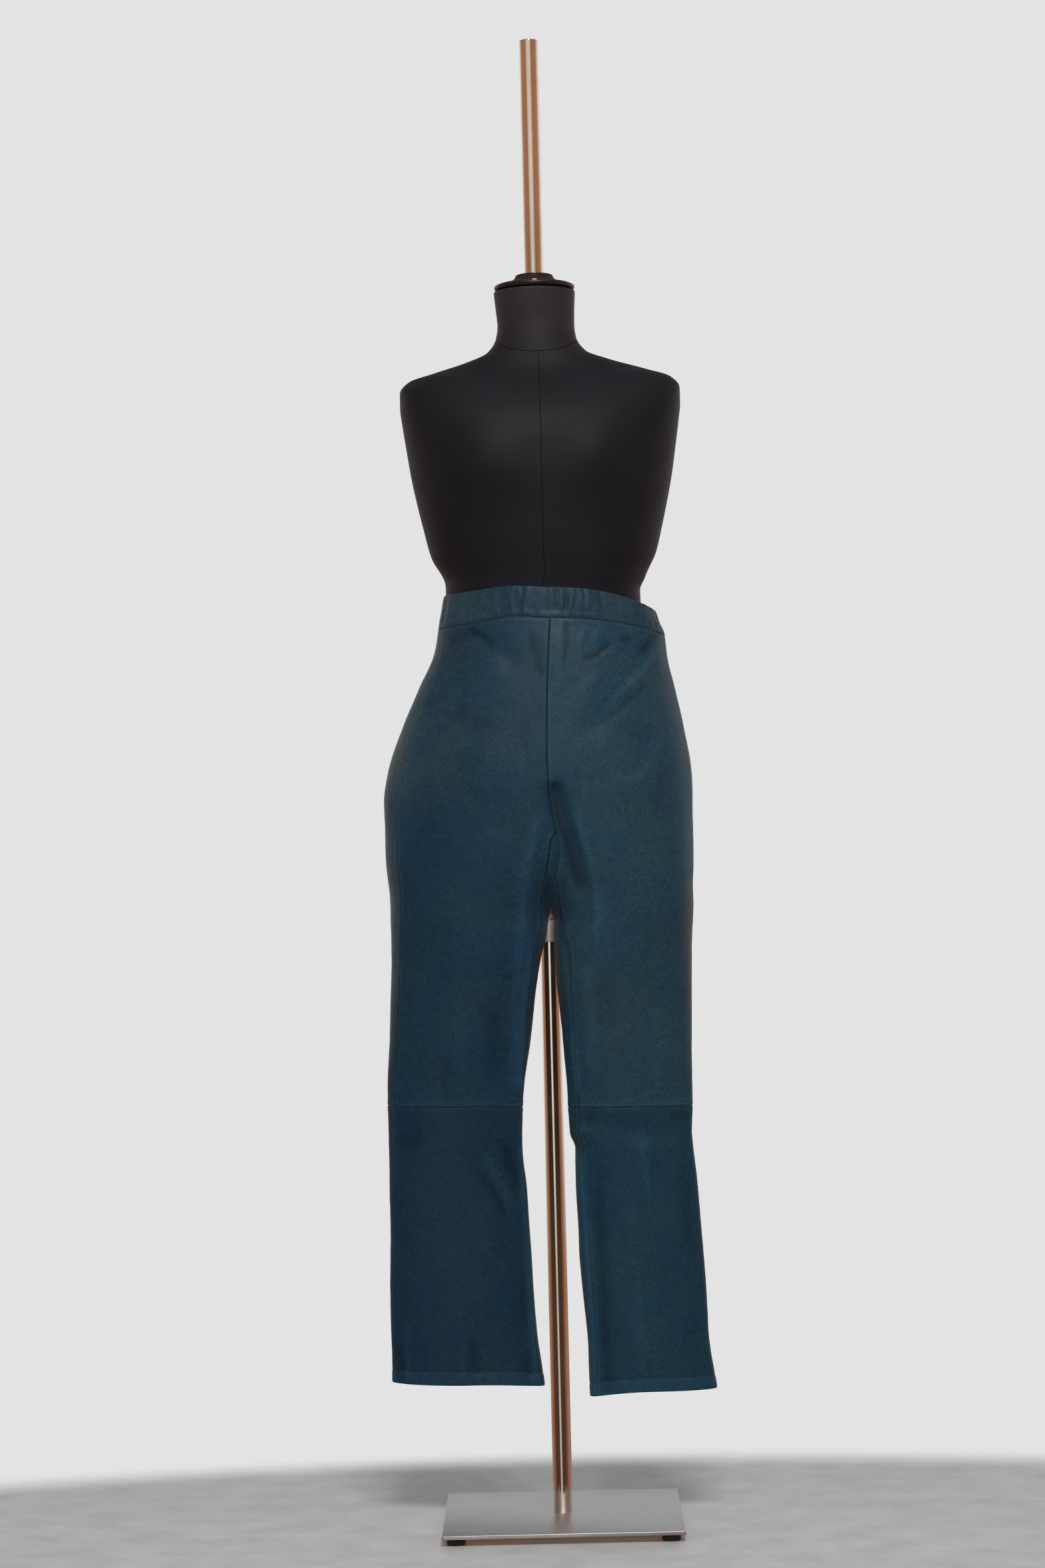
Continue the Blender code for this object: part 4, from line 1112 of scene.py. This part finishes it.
# waistband
band = {
    "wall": 2.3,
    "lift": 0.25,
    "puff": 0.9,
    "gatherShading": 0.34,      # painted highlight on a gather's ridge and painted shade in its trough, for each millimetre of its height
    "gatherEnds": (0.18, 0.18),
    "centreTone": -0.22,
    "rows": 22,
    "columns": {"front": 150, "back": 175},
    "ripple": {"front": 0.16, "back": 0.62},
    "flat": {"front": (0.36, 0.042), "back": (0.52, 0.042)},   # cut size in metres
    "gathers": [
        foldAlong(2.6, 0.43, (-61, 1240), (-59, 1228), (-60, 1214), (-58, 1196)),
        foldAlong(2.0, 0.43, (-46, 1238), (-42, 1222), (-38, 1204), (-39, 1196)),
        foldAlong(2.2, 0.5, (-30, 1236), (-28, 1226), (-30, 1216)),
        foldAlong(2.6, 0.74, (-16, 1238), (-19, 1222), (-23, 1208), (-22, 1196)),
        foldAlong(2.4, -0.56, (-24, 1238), (-28, 1220), (-31, 1200)),
        foldAlong(1.8, 0.25, (1, 1238), (1, 1222), (2, 1212)),
        foldAlong(2.4, -0.74, (20, 1238), (20, 1222), (18, 1200)),
        foldAlong(4.0, 0.31, (12, 1238), (13, 1224), (12, 1208)),
        foldAlong(2.6, -0.81, (32, 1238), (33, 1222), (31, 1200)),
        foldAlong(1.7, 0.93, (41, 1238), (42, 1225), (38, 1210), (34, 1200), (34, 1190)),
        foldAlong(2.0, 0.56, (48, 1238), (52, 1224), (54, 1212)),
        foldAlong(2.6, 0.5, (60, 1236), (61, 1220), (60, 1202)),
        foldAlong(3.2, -0.43, (76, 1230), (78, 1214), (76, 1198)),
        foldAlong(3.6, -0.37, (-84, 1236), (-86, 1218), (-84, 1202)),
        foldAlong(4.0, 0.37, (-104, 1234), (-108, 1214), (-106, 1196)),
        foldAlong(3.2, 0.37, (100, 1226), (104, 1208), (102, 1192)),
        foldAlong(2.4, -0.56, (121, 1212), (125, 1198), (124, 1184)),
        foldAlong(2.2, 0.56, (133, 1206), (137, 1194), (138, 1180)),
        foldAlong(2.2, -0.5, (144, 1200), (148, 1188), (150, 1176)),
    ],
    "patch": {"left": -5, "right": 25, "height": 0.5, "tall": 7},
}


def bandRow(share, isFront):
    # one row of the waistband, from the wearer's right side to the left side
    level = cut["waist"] + share * (cut["bandTop"] - cut["waist"])
    halves = []
    for leg in (legs["right"], legs["left"]):
        section = sectionAt(leg, cut["waist"])
        side = sideAngle(leg, section, cut["waist"])
        angles = np.linspace(side, -90, 160) if isFront else np.linspace(side, 90, 160)
        halves.append(rowPoints(leg, level, angles))
    row = np.concatenate([halves[0], halves[1][-2::-1]])
    # the two halves are joined by an even curve across the middle
    smoothRow = row.copy()
    for _ in range(30):
        smoothRow[1:-1] = (smoothRow[:-2] + 2 * smoothRow[1:-1] + smoothRow[2:]) / 4
    return smoothRow


def unitNormals(points, towards):
    across = np.gradient(points, axis=1)
    down = np.gradient(points, axis=0)
    normals = unitVectors(np.cross(across, down))
    middle = normals[normals.shape[0] // 2, normals.shape[1] // 2]
    return normals if np.dot(middle, towards) > 0 else -normals


def addWaistband(name, side, node):
    isFront = side == "front"
    tall = cut["bandTop"] - cut["waist"]
    gap = cut["seamGap"]
    shares = 1 - stations(tall, 0, 0.3, band["rows"]) / tall
    rows = []
    for share in shares:
        row = bandRow(share, isFront)
        run = runAlong(row)
        at = stations(run[-1], gap, gap, band["columns"][side])
        rows.append(pointAt(at, run, row))
    points = np.array(rows)
    normals = unitNormals(points, (0, -1 if isFront else 1, 0))
    reach = np.linalg.norm(np.diff(points[len(rows) // 2], axis=0), axis=1).sum()
    at = stations(reach, gap, gap, points.shape[1] - 2 * len(fineSteps) + 1)
    fromSide = np.minimum(at, reach - at)[None, :]
    below = (shares * tall)[:, None]
    shareGrid = shares[:, None]
    x, z = seenFromCamera(points)
    height = band["puff"] * np.sin(math.pi * np.clip(shareGrid, 0, 1)) ** 0.7
    tone = np.zeros(x.shape)
    if isFront:
        for crease in band["gathers"]:
            share = creaseShare({**crease, "ends": band["gatherEnds"]}, x, z)
            height = height + crease["height"] * share
            tone = tone + band["gatherShading"] * crease["height"] * share
        patch = band["patch"]
        inside = smoothStep((x - patch["left"]) / 1.5) * smoothStep((patch["right"] - x) / 1.5)
        onPatch = inside * smoothStep((patch["tall"] - below) / 1.5)
        height = height + patch["height"] * onPatch
        tone = tone + 0.2 * onPatch
    angle = np.arctan2(points[..., 1], points[..., 0])
    ripple = np.sin(41 * angle + 2.3 * np.sin(5 * angle))
    ripple = ripple + 0.6 * np.sin(67 * angle + 1.7 * np.sin(9 * angle))
    height = height + band["ripple"][side] * ripple * smoothStep(shareGrid / 0.25) * (1 - 0.3 * shareGrid)
    height = height + 0.12 * waves(points.reshape(-1, 3), 21, 9, 22).reshape(x.shape)
    height = height + allowance(below) - rollOff(below) - rollOff(fromSide)
    turnIn = (band["wall"] / 2) * quarterRound(1 - (tall - below) / 1.2)
    outer, inner = shellGrid(points, normals, height, band["wall"] + height * 0.55, turnIn)
    lift = band["lift"] * (1 - shareGrid)
    outer[..., 2] += lift
    inner[..., 2] += lift
    tone = tone + band["centreTone"] * smoothStep((110 - np.abs(x)) / 70)

    # painted warm reflection on the sides of the waistband, stronger on the wearer's right
    def paintedBandReflection(at):
        return np.where(at[:, 0] < 0, 1.0, 0.6) * smoothStep((np.abs(at[:, 0]) - 30) / 60)

    piece = makeShell(
        name, [(outer, inner, tone, 0)], materials=[leather, leather], slot="leather", warmth=paintedBandReflection
    )
    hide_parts(node)
    return piece


bandFront = addWaistband("waistbandFront", "front", "waistband_front")
bandBack = addWaistband("waistbandBack", "back", "waistband_back")
print("waistband made")


# sewing: each stitch is a small raised bar whose ends dive into the leather
def addStitches(name, path, normals, material, pitch, length, radius):
    run = runAlong(path)
    count = int(run[-1] / pitch)
    middles = (np.arange(count) + 0.5) * run[-1] / count
    rings, sides = 5, 6
    turns = np.linspace(0, math.tau, sides, endpoint=False)
    vertices, faces = [], []
    for middle in middles:
        start = len(vertices)
        for ring in range(rings):
            share = ring / (rings - 1) * 2 - 1
            at = middle + share * length / 2
            centre = pointAt(at, run, path)
            ahead = pointAt(at + 0.2, run, path)
            up = pointAt(at, run, normals)
            up /= np.linalg.norm(up)
            forward = ahead - centre
            forward /= max(np.linalg.norm(forward), 1e-6)
            across = np.cross(forward, up)
            thick = radius * (1 - 0.45 * share**2)
            lift = radius * (0.75 - 1.35 * share**4)
            for turn in turns:
                bar = across * math.cos(turn) * thick + up * (math.sin(turn) * thick * 0.8 + lift)
                vertices.append((centre + bar) * mm)
        faces += gridFaces(rings, sides, True, start) + endFaces(rings, sides, start)
    return addPiece(name, np.array(vertices), faces, [material], slot="leather")


def clothLine(leg, levels, angles, extra=0.0):
    # points on the finished cloth along a line, with their normals
    points, normals = [], []
    for level, angle in zip(levels, angles):
        points.append(rowPoints(leg, level, np.array([angle]))[0])
        normals.append(rowNormals(leg, level, np.array([angle]))[0])
    points, normals = np.array(points), np.array(normals)
    height = clothRelief(leg, points, normals)[0] + extra
    return points + normals * height[:, None], normals


stitches = {
    "hem": {"pitch": 2.45, "length": 1.75, "radius": 0.30},
    "band": {"pitch": 2.75, "length": 2.0, "radius": 0.36},
    "side": {"pitch": 2.6, "length": 1.5, "radius": 0.20},
}
aroundLeg = np.linspace(-180, 180, 420)
for legName, leg in legs.items():
    hemLevels = np.full(len(aroundLeg), leg["hem"] + cut["hemDepth"])
    hemLine, hemNormals = clothLine(leg, hemLevels, aroundLeg, -0.35)
    addStitches(
        legName + "HemStitches", hemLine, hemNormals, hemThread, **stitches["hem"]
    )
print("hem stitches made")

bandLine, bandNormals = [], []
for isFront in (True, False):
    row = bandRow(0.0, isFront)
    upper = bandRow(0.05, isFront)
    pair = unitNormals(np.array([upper, row]), (0, -1 if isFront else 1, 0))
    order = slice(None) if isFront else slice(None, None, -1)
    bandLine.append(row[order] + (0, 0, band["lift"] / 2) + pair[1][order] * 0.12)
    bandNormals.append(pair[1][order])
addStitches(
    "waistStitches", np.concatenate(bandLine), np.concatenate(bandNormals), bandThread, **stitches["band"]
)

sideLevels = np.linspace(915, 795, 60)
rightLeg = legs["right"]
sideAngles = [sideAngle(rightLeg, sectionAt(rightLeg, level), level) - 1.0 for level in sideLevels]
sideLine, sideNormals = clothLine(rightLeg, sideLevels, sideAngles, 0.2)
addStitches(
    "rightSideStitches", sideLine, sideNormals, hemThread, **stitches["side"]
)


# dress form
ringNames = ("z", "half", "front", "back", "round", "shift")
formRings = [
    (856, 138, 66, 68, 2.3, 0), (862, 150, 77, 81, 2.3, 0), (880, 158, 86, 92, 2.3, 0),
    (917, 166, 94, 106, 2.3, 0), (960, 171, 100, 118, 2.25, 0), (1010, 171, 103, 120, 2.2, 0),
    (1060, 164, 102, 112, 2.15, 0), (1100, 154, 100, 104, 2.1, 1), (1140, 139, 97, 97, 2.1, 2),
    (1180, 130, 93, 91, 2.1, 2), (1222, 128, 90, 85, 2.1, 2), (1240, 132.5, 92, 84, 2.05, 5),
    (1271, 148, 97, 86, 2.1, 4), (1306, 157, 102, 90, 2.1, 4), (1341, 165, 106, 94, 2.1, 4),
    (1376, 172, 108, 98, 2.15, 4), (1412, 177.5, 107, 101, 2.2, 4), (1447, 182.5, 100, 100, 2.3, 4),
    (1470, 185, 88, 94, 2.4, 4), (1489, 185, 74, 82, 2.5, 4), (1503, 174, 63, 72, 2.3, 4),
    (1514, 142, 56, 64, 2.0, 4), (1527, 98, 51, 57, 2.0, 3), (1540, 66, 49, 52, 2.0, 1),
    (1558, 53.4, 47.4, 49.4, 2.0, 0.7), (1576, 50.9, 46.6, 48.2, 2.0, 1.0),
    (1597, 52.1, 48.2, 49.6, 2.0, 0.3), (1620.6, 53.9, 51.0, 52.0, 2.0, -0.2),
]
formLook = {
    "segments": 176,
    "bottom": 856, "top": 1620.6, "topRound": 2.0,
    "bustX": 82, "bustZ": 1392, "bustWide": 52, "bustTall": 46, "bustDeep": 13,
    "bore": 12.9,
    "neckSeamFront": 1535, "neckSeamSide": 1553, "neckSeamBack": 1562,
    "seamRadius": 0.36, "seamBottom": 862,
    # the direction of each long seam from the middle, and how high it reaches
    "seams": [(-math.pi / 2, 1533), (math.pi / 2, 1560), (0.0, 1488), (math.pi, 1488)],
}


def formValue(column, z):
    return readTable(formRings[::-1], ringNames, column, z)


def formPoints(z, angles):
    values = {column: formValue(column, z) for column in ringNames[1:]}
    x = values["shift"] + values["half"] * rounded(np.cos(angles), values["round"])
    depth = np.where(np.sin(angles) < 0, values["front"], values["back"])
    y = depth * rounded(np.sin(angles), values["round"])
    across = (np.abs(x) - formLook["bustX"]) / formLook["bustWide"]
    up = (z - formLook["bustZ"]) / formLook["bustTall"]
    bust = formLook["bustDeep"] * np.exp(-(across**2) - up**2)
    y = np.where(y < 0, y - bust * np.sin(angles) ** 2, y)
    return np.stack([x, y, np.full(len(angles), float(z))], 1)


def addFormBody():
    segments = formLook["segments"]
    angles = np.linspace(0, math.tau, segments, endpoint=False)
    heights = [formLook["bottom"] + rise for rise in (0.2, 1, 2.5, 4.5, 7, 10, 14)]
    heights += list(np.linspace(875, 1480, 122))
    heights += list(np.linspace(1483, 1545, 42))
    heights += list(np.linspace(1549, 1617.6, 20)) + [1619.2, 1620.2]
    rings = []
    low = formPoints(heights[0], angles)
    circle = np.stack([np.cos(angles), np.sin(angles), np.zeros(segments)], 1) * formLook["bore"]
    for share in (0, 0.35, 0.7, 0.9):
        rings.append(circle + (low - circle) * share)
        rings[-1][:, 2] = heights[0]
    for z in heights:
        ring = formPoints(z, angles)
        nearTop = max(0.0, 1 - (formLook["top"] - z) / formLook["topRound"])
        ring[:, :2] *= 1 - 0.02 * nearTop**2
        rings.append(ring)
    top = rings[-1].copy()
    for share in (0.5, 0.0):
        ring = circle + (top - circle) * share
        ring[:, 2] = heights[-1]
        rings.append(ring)
    vertices = np.concatenate(rings) * mm
    faces = gridFaces(len(rings), segments, True, looped=True)
    piece = addPiece("formBody", vertices, faces, [jersey], slot="jersey")
    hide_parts("form_torso")


def tubeAlong(path, radius, sides=8, closed=False):
    # a thin round cord along a path, as vertices and faces
    count = len(path)
    vertices = []
    for index in range(count):
        before = path[index - 1] if closed or index > 0 else path[index]
        after = path[(index + 1) % count] if closed or index < count - 1 else path[index]
        forward = after - before
        forward = forward / max(np.linalg.norm(forward), 1e-9)
        guide = np.array([0, 0, 1.0]) if abs(forward[2]) < 0.8 else np.array([1.0, 0, 0])
        across = np.cross(forward, guide)
        across /= np.linalg.norm(across)
        up = np.cross(across, forward)
        for side in range(sides):
            turn = math.tau * side / sides
            vertices.append(path[index] + radius * (across * math.cos(turn) + up * math.sin(turn)))
    faces = gridFaces(count, sides, True, looped=closed)
    if not closed:
        faces += endFaces(count, sides)
    return np.array(vertices), faces


def formSurface(angle, z):
    return formPoints(z, np.array([angle]))[0]


def addFormSeams():
    # the covering's seams: round the neck, down the centres and down both sides
    angles = np.linspace(0, math.tau, 160, endpoint=False)
    neck = []
    for angle in angles:
        middle = formLook["neckSeamFront"] if math.sin(angle) < 0 else formLook["neckSeamBack"]
        height = formLook["neckSeamSide"] + (middle - formLook["neckSeamSide"]) * math.sin(angle) ** 2
        neck.append(formSurface(angle, height))
    lines = [(np.array(neck), True)]
    for angle, top in formLook["seams"]:
        heights = np.linspace(formLook["seamBottom"], top, 190)
        lines.append((np.array([formSurface(angle, z) for z in heights]), False))
    vertices, faces = [], []
    for path, closed in lines:
        made, links = tubeAlong(path, formLook["seamRadius"], 8, closed)
        start = sum(len(part) for part in vertices)
        vertices.append(made)
        faces += [tuple(corner + start for corner in face) for face in links]
    addPiece("formSeams", np.concatenate(vertices) * mm, faces, [seamThread], slot="jersey")


addFormBody()
addFormSeams()
print("dress form made")


# neck cap, socket and collar
capProfile = [
    (13.2, 1642.4), (22.5, 1642.7), (24.0, 1642.3), (24.9, 1641.3), (25.4, 1639.8), (26.8, 1637.6),
    (29.4, 1635.5), (33.2, 1633.7), (38.0, 1632.2), (43.5, 1630.9), (48.2, 1629.8), (51.3, 1628.5),
    (52.9, 1627.6), (53.3, 1626.2), (53.0, 1624.8), (52.2, 1623.4),
    (50.5, 1622.4), (48.0, 1621.9), (46.0, 1621.0), (13.2, 1620.9),
]
cap = turned("neckCap", capProfile, lacquer, 160, slot="cap")
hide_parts("neck_cap")

socketProfile = [
    (13.0, 855.4), (40.6, 855.4), (41.7, 854.8), (42.0, 853.6), (41.6, 852.4), (40.4, 851.9),
    (18.0, 851.8), (15.8, 851.0), (15.0, 849.4), (15.0, 792.0), (14.6, 791.1), (13.0, 790.9),
]
socket = turned("formSocket", socketProfile, satinMetal, 96, slot="light_metal")
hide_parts("form_socket")

collarProfile = [
    (13.0, 790.4), (15.1, 790.3), (15.8, 789.6), (16.0, 788.8), (16.0, 762.5), (15.7, 761.6),
    (15.0, 761.1), (13.0, 761.0),
]
collar = turned("heightCollar", collarProfile, satinMetal, 96, "collar", "light_metal")
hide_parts("height_collar")


screw = {
    "height": 800, "segments": 40, "knurl": 0.03, "knurlFrom": 2.8,
    "outline": [
        (0.0, -18.9), (1.6, -18.8), (2.5, -18.4), (3.0, -17.7), (3.2, -17.0), (3.2, -15.8),
        (2.9, -15.4), (2.0, -15.3), (0.0, -15.3),
    ],
}


def addScrew():
    # a knurled lock screw with a domed head, pointing forwards
    count = screw["segments"]
    vertices = []
    for radius, y in screw["outline"]:
        for step in range(count):
            turn = math.tau * step / count
            knurl = 1 + (screw["knurl"] if step % 2 and radius > screw["knurlFrom"] else 0)
            up = screw["height"] + radius * knurl * math.sin(turn)
            vertices.append((radius * knurl * math.cos(turn), y, up))
    faces = gridFaces(len(screw["outline"]), count, True)
    piece = addPiece("socketScrew", np.array(vertices) * mm, faces, [screwMetal], slot="light_metal")
    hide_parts("socket_screw")
    weld(piece)


addScrew()
print("cap, socket and collar made")


# pole and base
pole = {"radius": 12.5, "low": 14.0, "top": 1955.0, "wall": 1.5, "deep": 140.0, "chamfer": 0.5}


def addPole():
    radius, top, chamfer = pole["radius"], pole["top"], pole["chamfer"]
    inside = radius - pole["wall"]
    profile = [(0.0, pole["low"]), (radius, pole["low"])]
    profile += [(radius, z) for z in np.linspace(pole["low"] + 1, top - chamfer - 1.5, 24)]
    profile += [(radius, top - chamfer - 0.4), (radius, top - chamfer)]
    profile += [(radius - chamfer, top), (inside + 0.2, top), (inside, top - 0.4)]
    profile += [(inside, top - pole["deep"]), (0.0, top - pole["deep"])]
    piece = turned("poleTube", profile, tubeMetal, 128, "stand", "polished_steel", closed=False)
    weld(piece)
    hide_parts("pole")


addPole()

plate = {"side": 310.0, "low": 9.0, "high": 14.0, "edge": 0.7, "corner": 1.5}


def addPlate():
    mesh = bmesh.new()
    bmesh.ops.create_cube(mesh, size=1)
    tall = plate["high"] - plate["low"]
    bmesh.ops.scale(mesh, verts=mesh.verts, vec=(plate["side"] * mm, plate["side"] * mm, tall * mm))
    bmesh.ops.translate(mesh, verts=mesh.verts, vec=(0, 0, (plate["low"] + plate["high"]) / 2 * mm))
    upright = [edge for edge in mesh.edges if abs(edge.verts[0].co.z - edge.verts[1].co.z) > mm]
    bmesh.ops.bevel(mesh, geom=upright, offset=plate["corner"] * mm, segments=5, affect="EDGES", profile=0.5)
    flat = [
        edge for edge in mesh.edges
        if abs(edge.verts[0].co.z - edge.verts[1].co.z) < 1e-6 and len(edge.link_faces) == 2
        and abs(edge.link_faces[0].normal.z - edge.link_faces[1].normal.z) > 0.5
    ]
    bmesh.ops.bevel(mesh, geom=flat, offset=plate["edge"] * mm, segments=3, affect="EDGES", profile=0.5)
    data = bpy.data.meshes.new("basePlate")
    mesh.to_mesh(data)
    mesh.free()
    data.materials.append(plateMetal)
    data.shade_smooth()
    data.set_sharp_from_angle(angle=math.radians(30))
    piece = bpy.data.objects.new("basePlate", data)
    scene.collection.objects.link(piece)
    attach(piece, "stand")
    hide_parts("base_plate")


addPlate()

footProfile = [
    (0.0, 8.9), (9.5, 8.9), (10.2, 8.6), (10.4, 7.6), (11.2, 7.2), (11.8, 6.5), (12.0, 5.4), (12.0, 1.6),
    (11.6, 0.6), (10.6, 0.05), (6.0, 0.0), (0.0, 0.0),
]
footPlaces = [(-137, -137), (137, -137), (137, 137), (-137, 137)]


def addFoot(index, x, y):
    count = 64
    vertices = []
    for radius, z in footProfile:
        for step in range(count):
            turn = math.tau * step / count
            vertices.append((x + radius * math.cos(turn), y + radius * math.sin(turn), z))
    faces = gridFaces(len(footProfile), count, True)
    points = np.array(vertices) * mm
    piece = addPiece(f"rubberFoot{index}", points, faces, [rubber], body="stand", slot="rubber")
    weld(piece)
    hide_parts(f"foot_{index}")


for index, (x, y) in enumerate(footPlaces, 1):
    addFoot(index, x, y)
print("stand made")


# floor, surroundings and light
studio = {
    "background": 0.77,
    "floor": 0.785,
    "floorMiddle": (0.0, -2.1, 0.0),
    "floorRadius": 5.0,
    "floorFade": (2.50, 2.68),   # metres from its middle over which the floor melts into the background
    "fill": 0.23,
    "ceiling": 0.12,
    "lampTurn": math.radians(8),
    "highFrom": (0.09, 0.20),      # how steeply up or down the room changes to its next colour
    "ceilingFrom": (0.285, 0.36),
    "lowFrom": (-0.04, -0.13),
    "key": {"place": (0.25, -3.4, 3.9), "aim": (0, 0, 1), "size": (1.1, 0.8), "power": 92.0},
    "front": {"place": (0.1, -4.6, 1.25), "aim": (0, 0, 1), "size": (0.9, 0.7), "power": 17.0},
}


def addFloor():
    mesh = bmesh.new()
    bmesh.ops.create_circle(mesh, cap_ends=True, radius=studio["floorRadius"], segments=96)
    data = bpy.data.meshes.new("studioFloor")
    mesh.to_mesh(data)
    mesh.free()
    material, tree, shader = makeMaterial("paleFloor", 0.42)
    where = objectCoordinates(tree)
    speck = noiseAt(tree, where, 160.0, 5.0, 0.7)
    cloudy = noiseAt(tree, where, 14.0, 4.0, 0.6)
    grey = studio["floor"]
    blend = mathOf(tree, "MULTIPLY_ADD", speck, 0.5, rangeOf(tree, cloudy, 0.0, 0.5, 0.3, 0.7))
    colour = makeRamp(tree, blend, (0.25, (grey * 0.9,) * 3), (0.7, (grey * 1.08,) * 3))
    fillInputs(tree, shader, {"Base Color": colour})
    place = makeNode(tree, "TexCoord").outputs["Object"]
    length = makeNode(tree, "VectorMath", {"operation": "LENGTH"}, {0: place}).outputs["Value"]
    fade = rangeOf(tree, length, 0.0, 1.0, *studio["floorFade"], "SMOOTHSTEP")
    clear = makeNode(tree, "BsdfTransparent").outputs["BSDF"]
    mix = makeNode(tree, "MixShader", None, {0: fade, 1: shader.outputs["BSDF"], 2: clear})
    fillInputs(tree, tree.nodes["Material Output"], {"Surface": mix.outputs["Shader"]})
    data.materials.append(material)
    floor = bpy.data.objects.new("studioFloor", data)
    floor.location = studio["floorMiddle"]
    scene.collection.objects.link(floor)
    floor.visible_glossy = False   # the room's own ramps colour what the metal mirrors


def addWorld():
    # the camera sees a plain pale background; the object is lit by a room that is pale behind it,
    # warm at both sides and dark in front
    world = bpy.data.worlds.new("studioRoom")
    scene.world = world
    world.use_nodes = True
    tree = world.node_tree
    place = makeNode(tree, "TexCoord").outputs["Generated"]
    parts = makeNode(tree, "SeparateXYZ", Vector=place).outputs
    flat = makeNode(tree, "CombineXYZ", X=parts["X"], Y=parts["Y"]).outputs["Vector"]
    unit = makeNode(tree, "VectorMath", {"operation": "NORMALIZE"}, {0: flat}).outputs["Vector"]
    turn = studio["lampTurn"]
    lampSide = (-math.sin(turn), -math.cos(turn), 0.0)
    facing = makeNode(tree, "VectorMath", {"operation": "DOT_PRODUCT"}, {0: unit, 1: lampSide})
    frontness = rangeOf(tree, facing.outputs["Value"], 0.0, 1.0, -1.0, 1.0)
    pale, copper = (0.74, 0.74, 0.74), (0.40, 0.215, 0.135)
    dark, lamp = (0.016, 0.012, 0.009), (0.95, 0.95, 0.95)
    level = makeRamp(
        tree, frontness,
        (0.0, pale), (0.22, pale), (0.33, copper), (0.60, (0.34, 0.175, 0.105)),
        (0.70, dark), (0.990, dark), (0.9965, lamp), (1.0, lamp),
    )
    high = makeRamp(
        tree, frontness,
        (0.0, pale), (0.25, pale), (0.36, (0.45, 0.27, 0.17)), (0.62, (0.36, 0.19, 0.11)),
        (0.93, (0.36, 0.20, 0.12)), (0.965, (0.66, 0.56, 0.48)), (1.0, (0.72, 0.64, 0.57)),
    )
    low = makeRamp(
        tree, frontness,
        (0.0, (0.30, 0.20, 0.14)), (0.25, (0.36, 0.21, 0.14)), (0.45, (0.28, 0.15, 0.09)),
        (0.75, (0.085, 0.045, 0.028)), (0.988, (0.075, 0.040, 0.025)),
        (0.9965, (0.55, 0.50, 0.45)), (1.0, (0.6, 0.55, 0.5)),
    )
    ceiling = (*(studio["ceiling"],) * 3, 1.0)
    room = level
    for colour, reach in ((high, "highFrom"), (ceiling, "ceilingFrom"), (low, "lowFrom")):
        share = rangeOf(tree, parts["Z"], 0.0, 1.0, *studio[reach], "SMOOTHSTEP")
        room = mixOf(tree, share, room, colour)
    ray = makeNode(tree, "LightPath").outputs
    for kind, grey in (("Is Diffuse Ray", "fill"), ("Is Camera Ray", "background")):
        room = mixOf(tree, ray[kind], room, (*(studio[grey],) * 3, 1.0))
    fillInputs(tree, tree.nodes["Background"], {"Color": room})


def addAreaLight(name, lamp):
    data = bpy.data.lights.new(name, "AREA")
    data.shape = "RECTANGLE"
    data.size, data.size_y = lamp["size"]
    data.energy = lamp["power"]
    light = bpy.data.objects.new(name, data)
    light.location = lamp["place"]
    light.rotation_mode = "QUATERNION"
    light.rotation_quaternion = (Vector(lamp["aim"]) - Vector(lamp["place"])).to_track_quat("-Z", "Y")
    scene.collection.objects.link(light)
    return light


addFloor()
addWorld()
addAreaLight("keyLight", studio["key"])
# the front light only fills: the polished tube mirrors the room instead
addAreaLight("frontLight", studio["front"]).visible_glossy = False
scene.view_settings.view_transform = "Standard"
print("floor, room and light made")
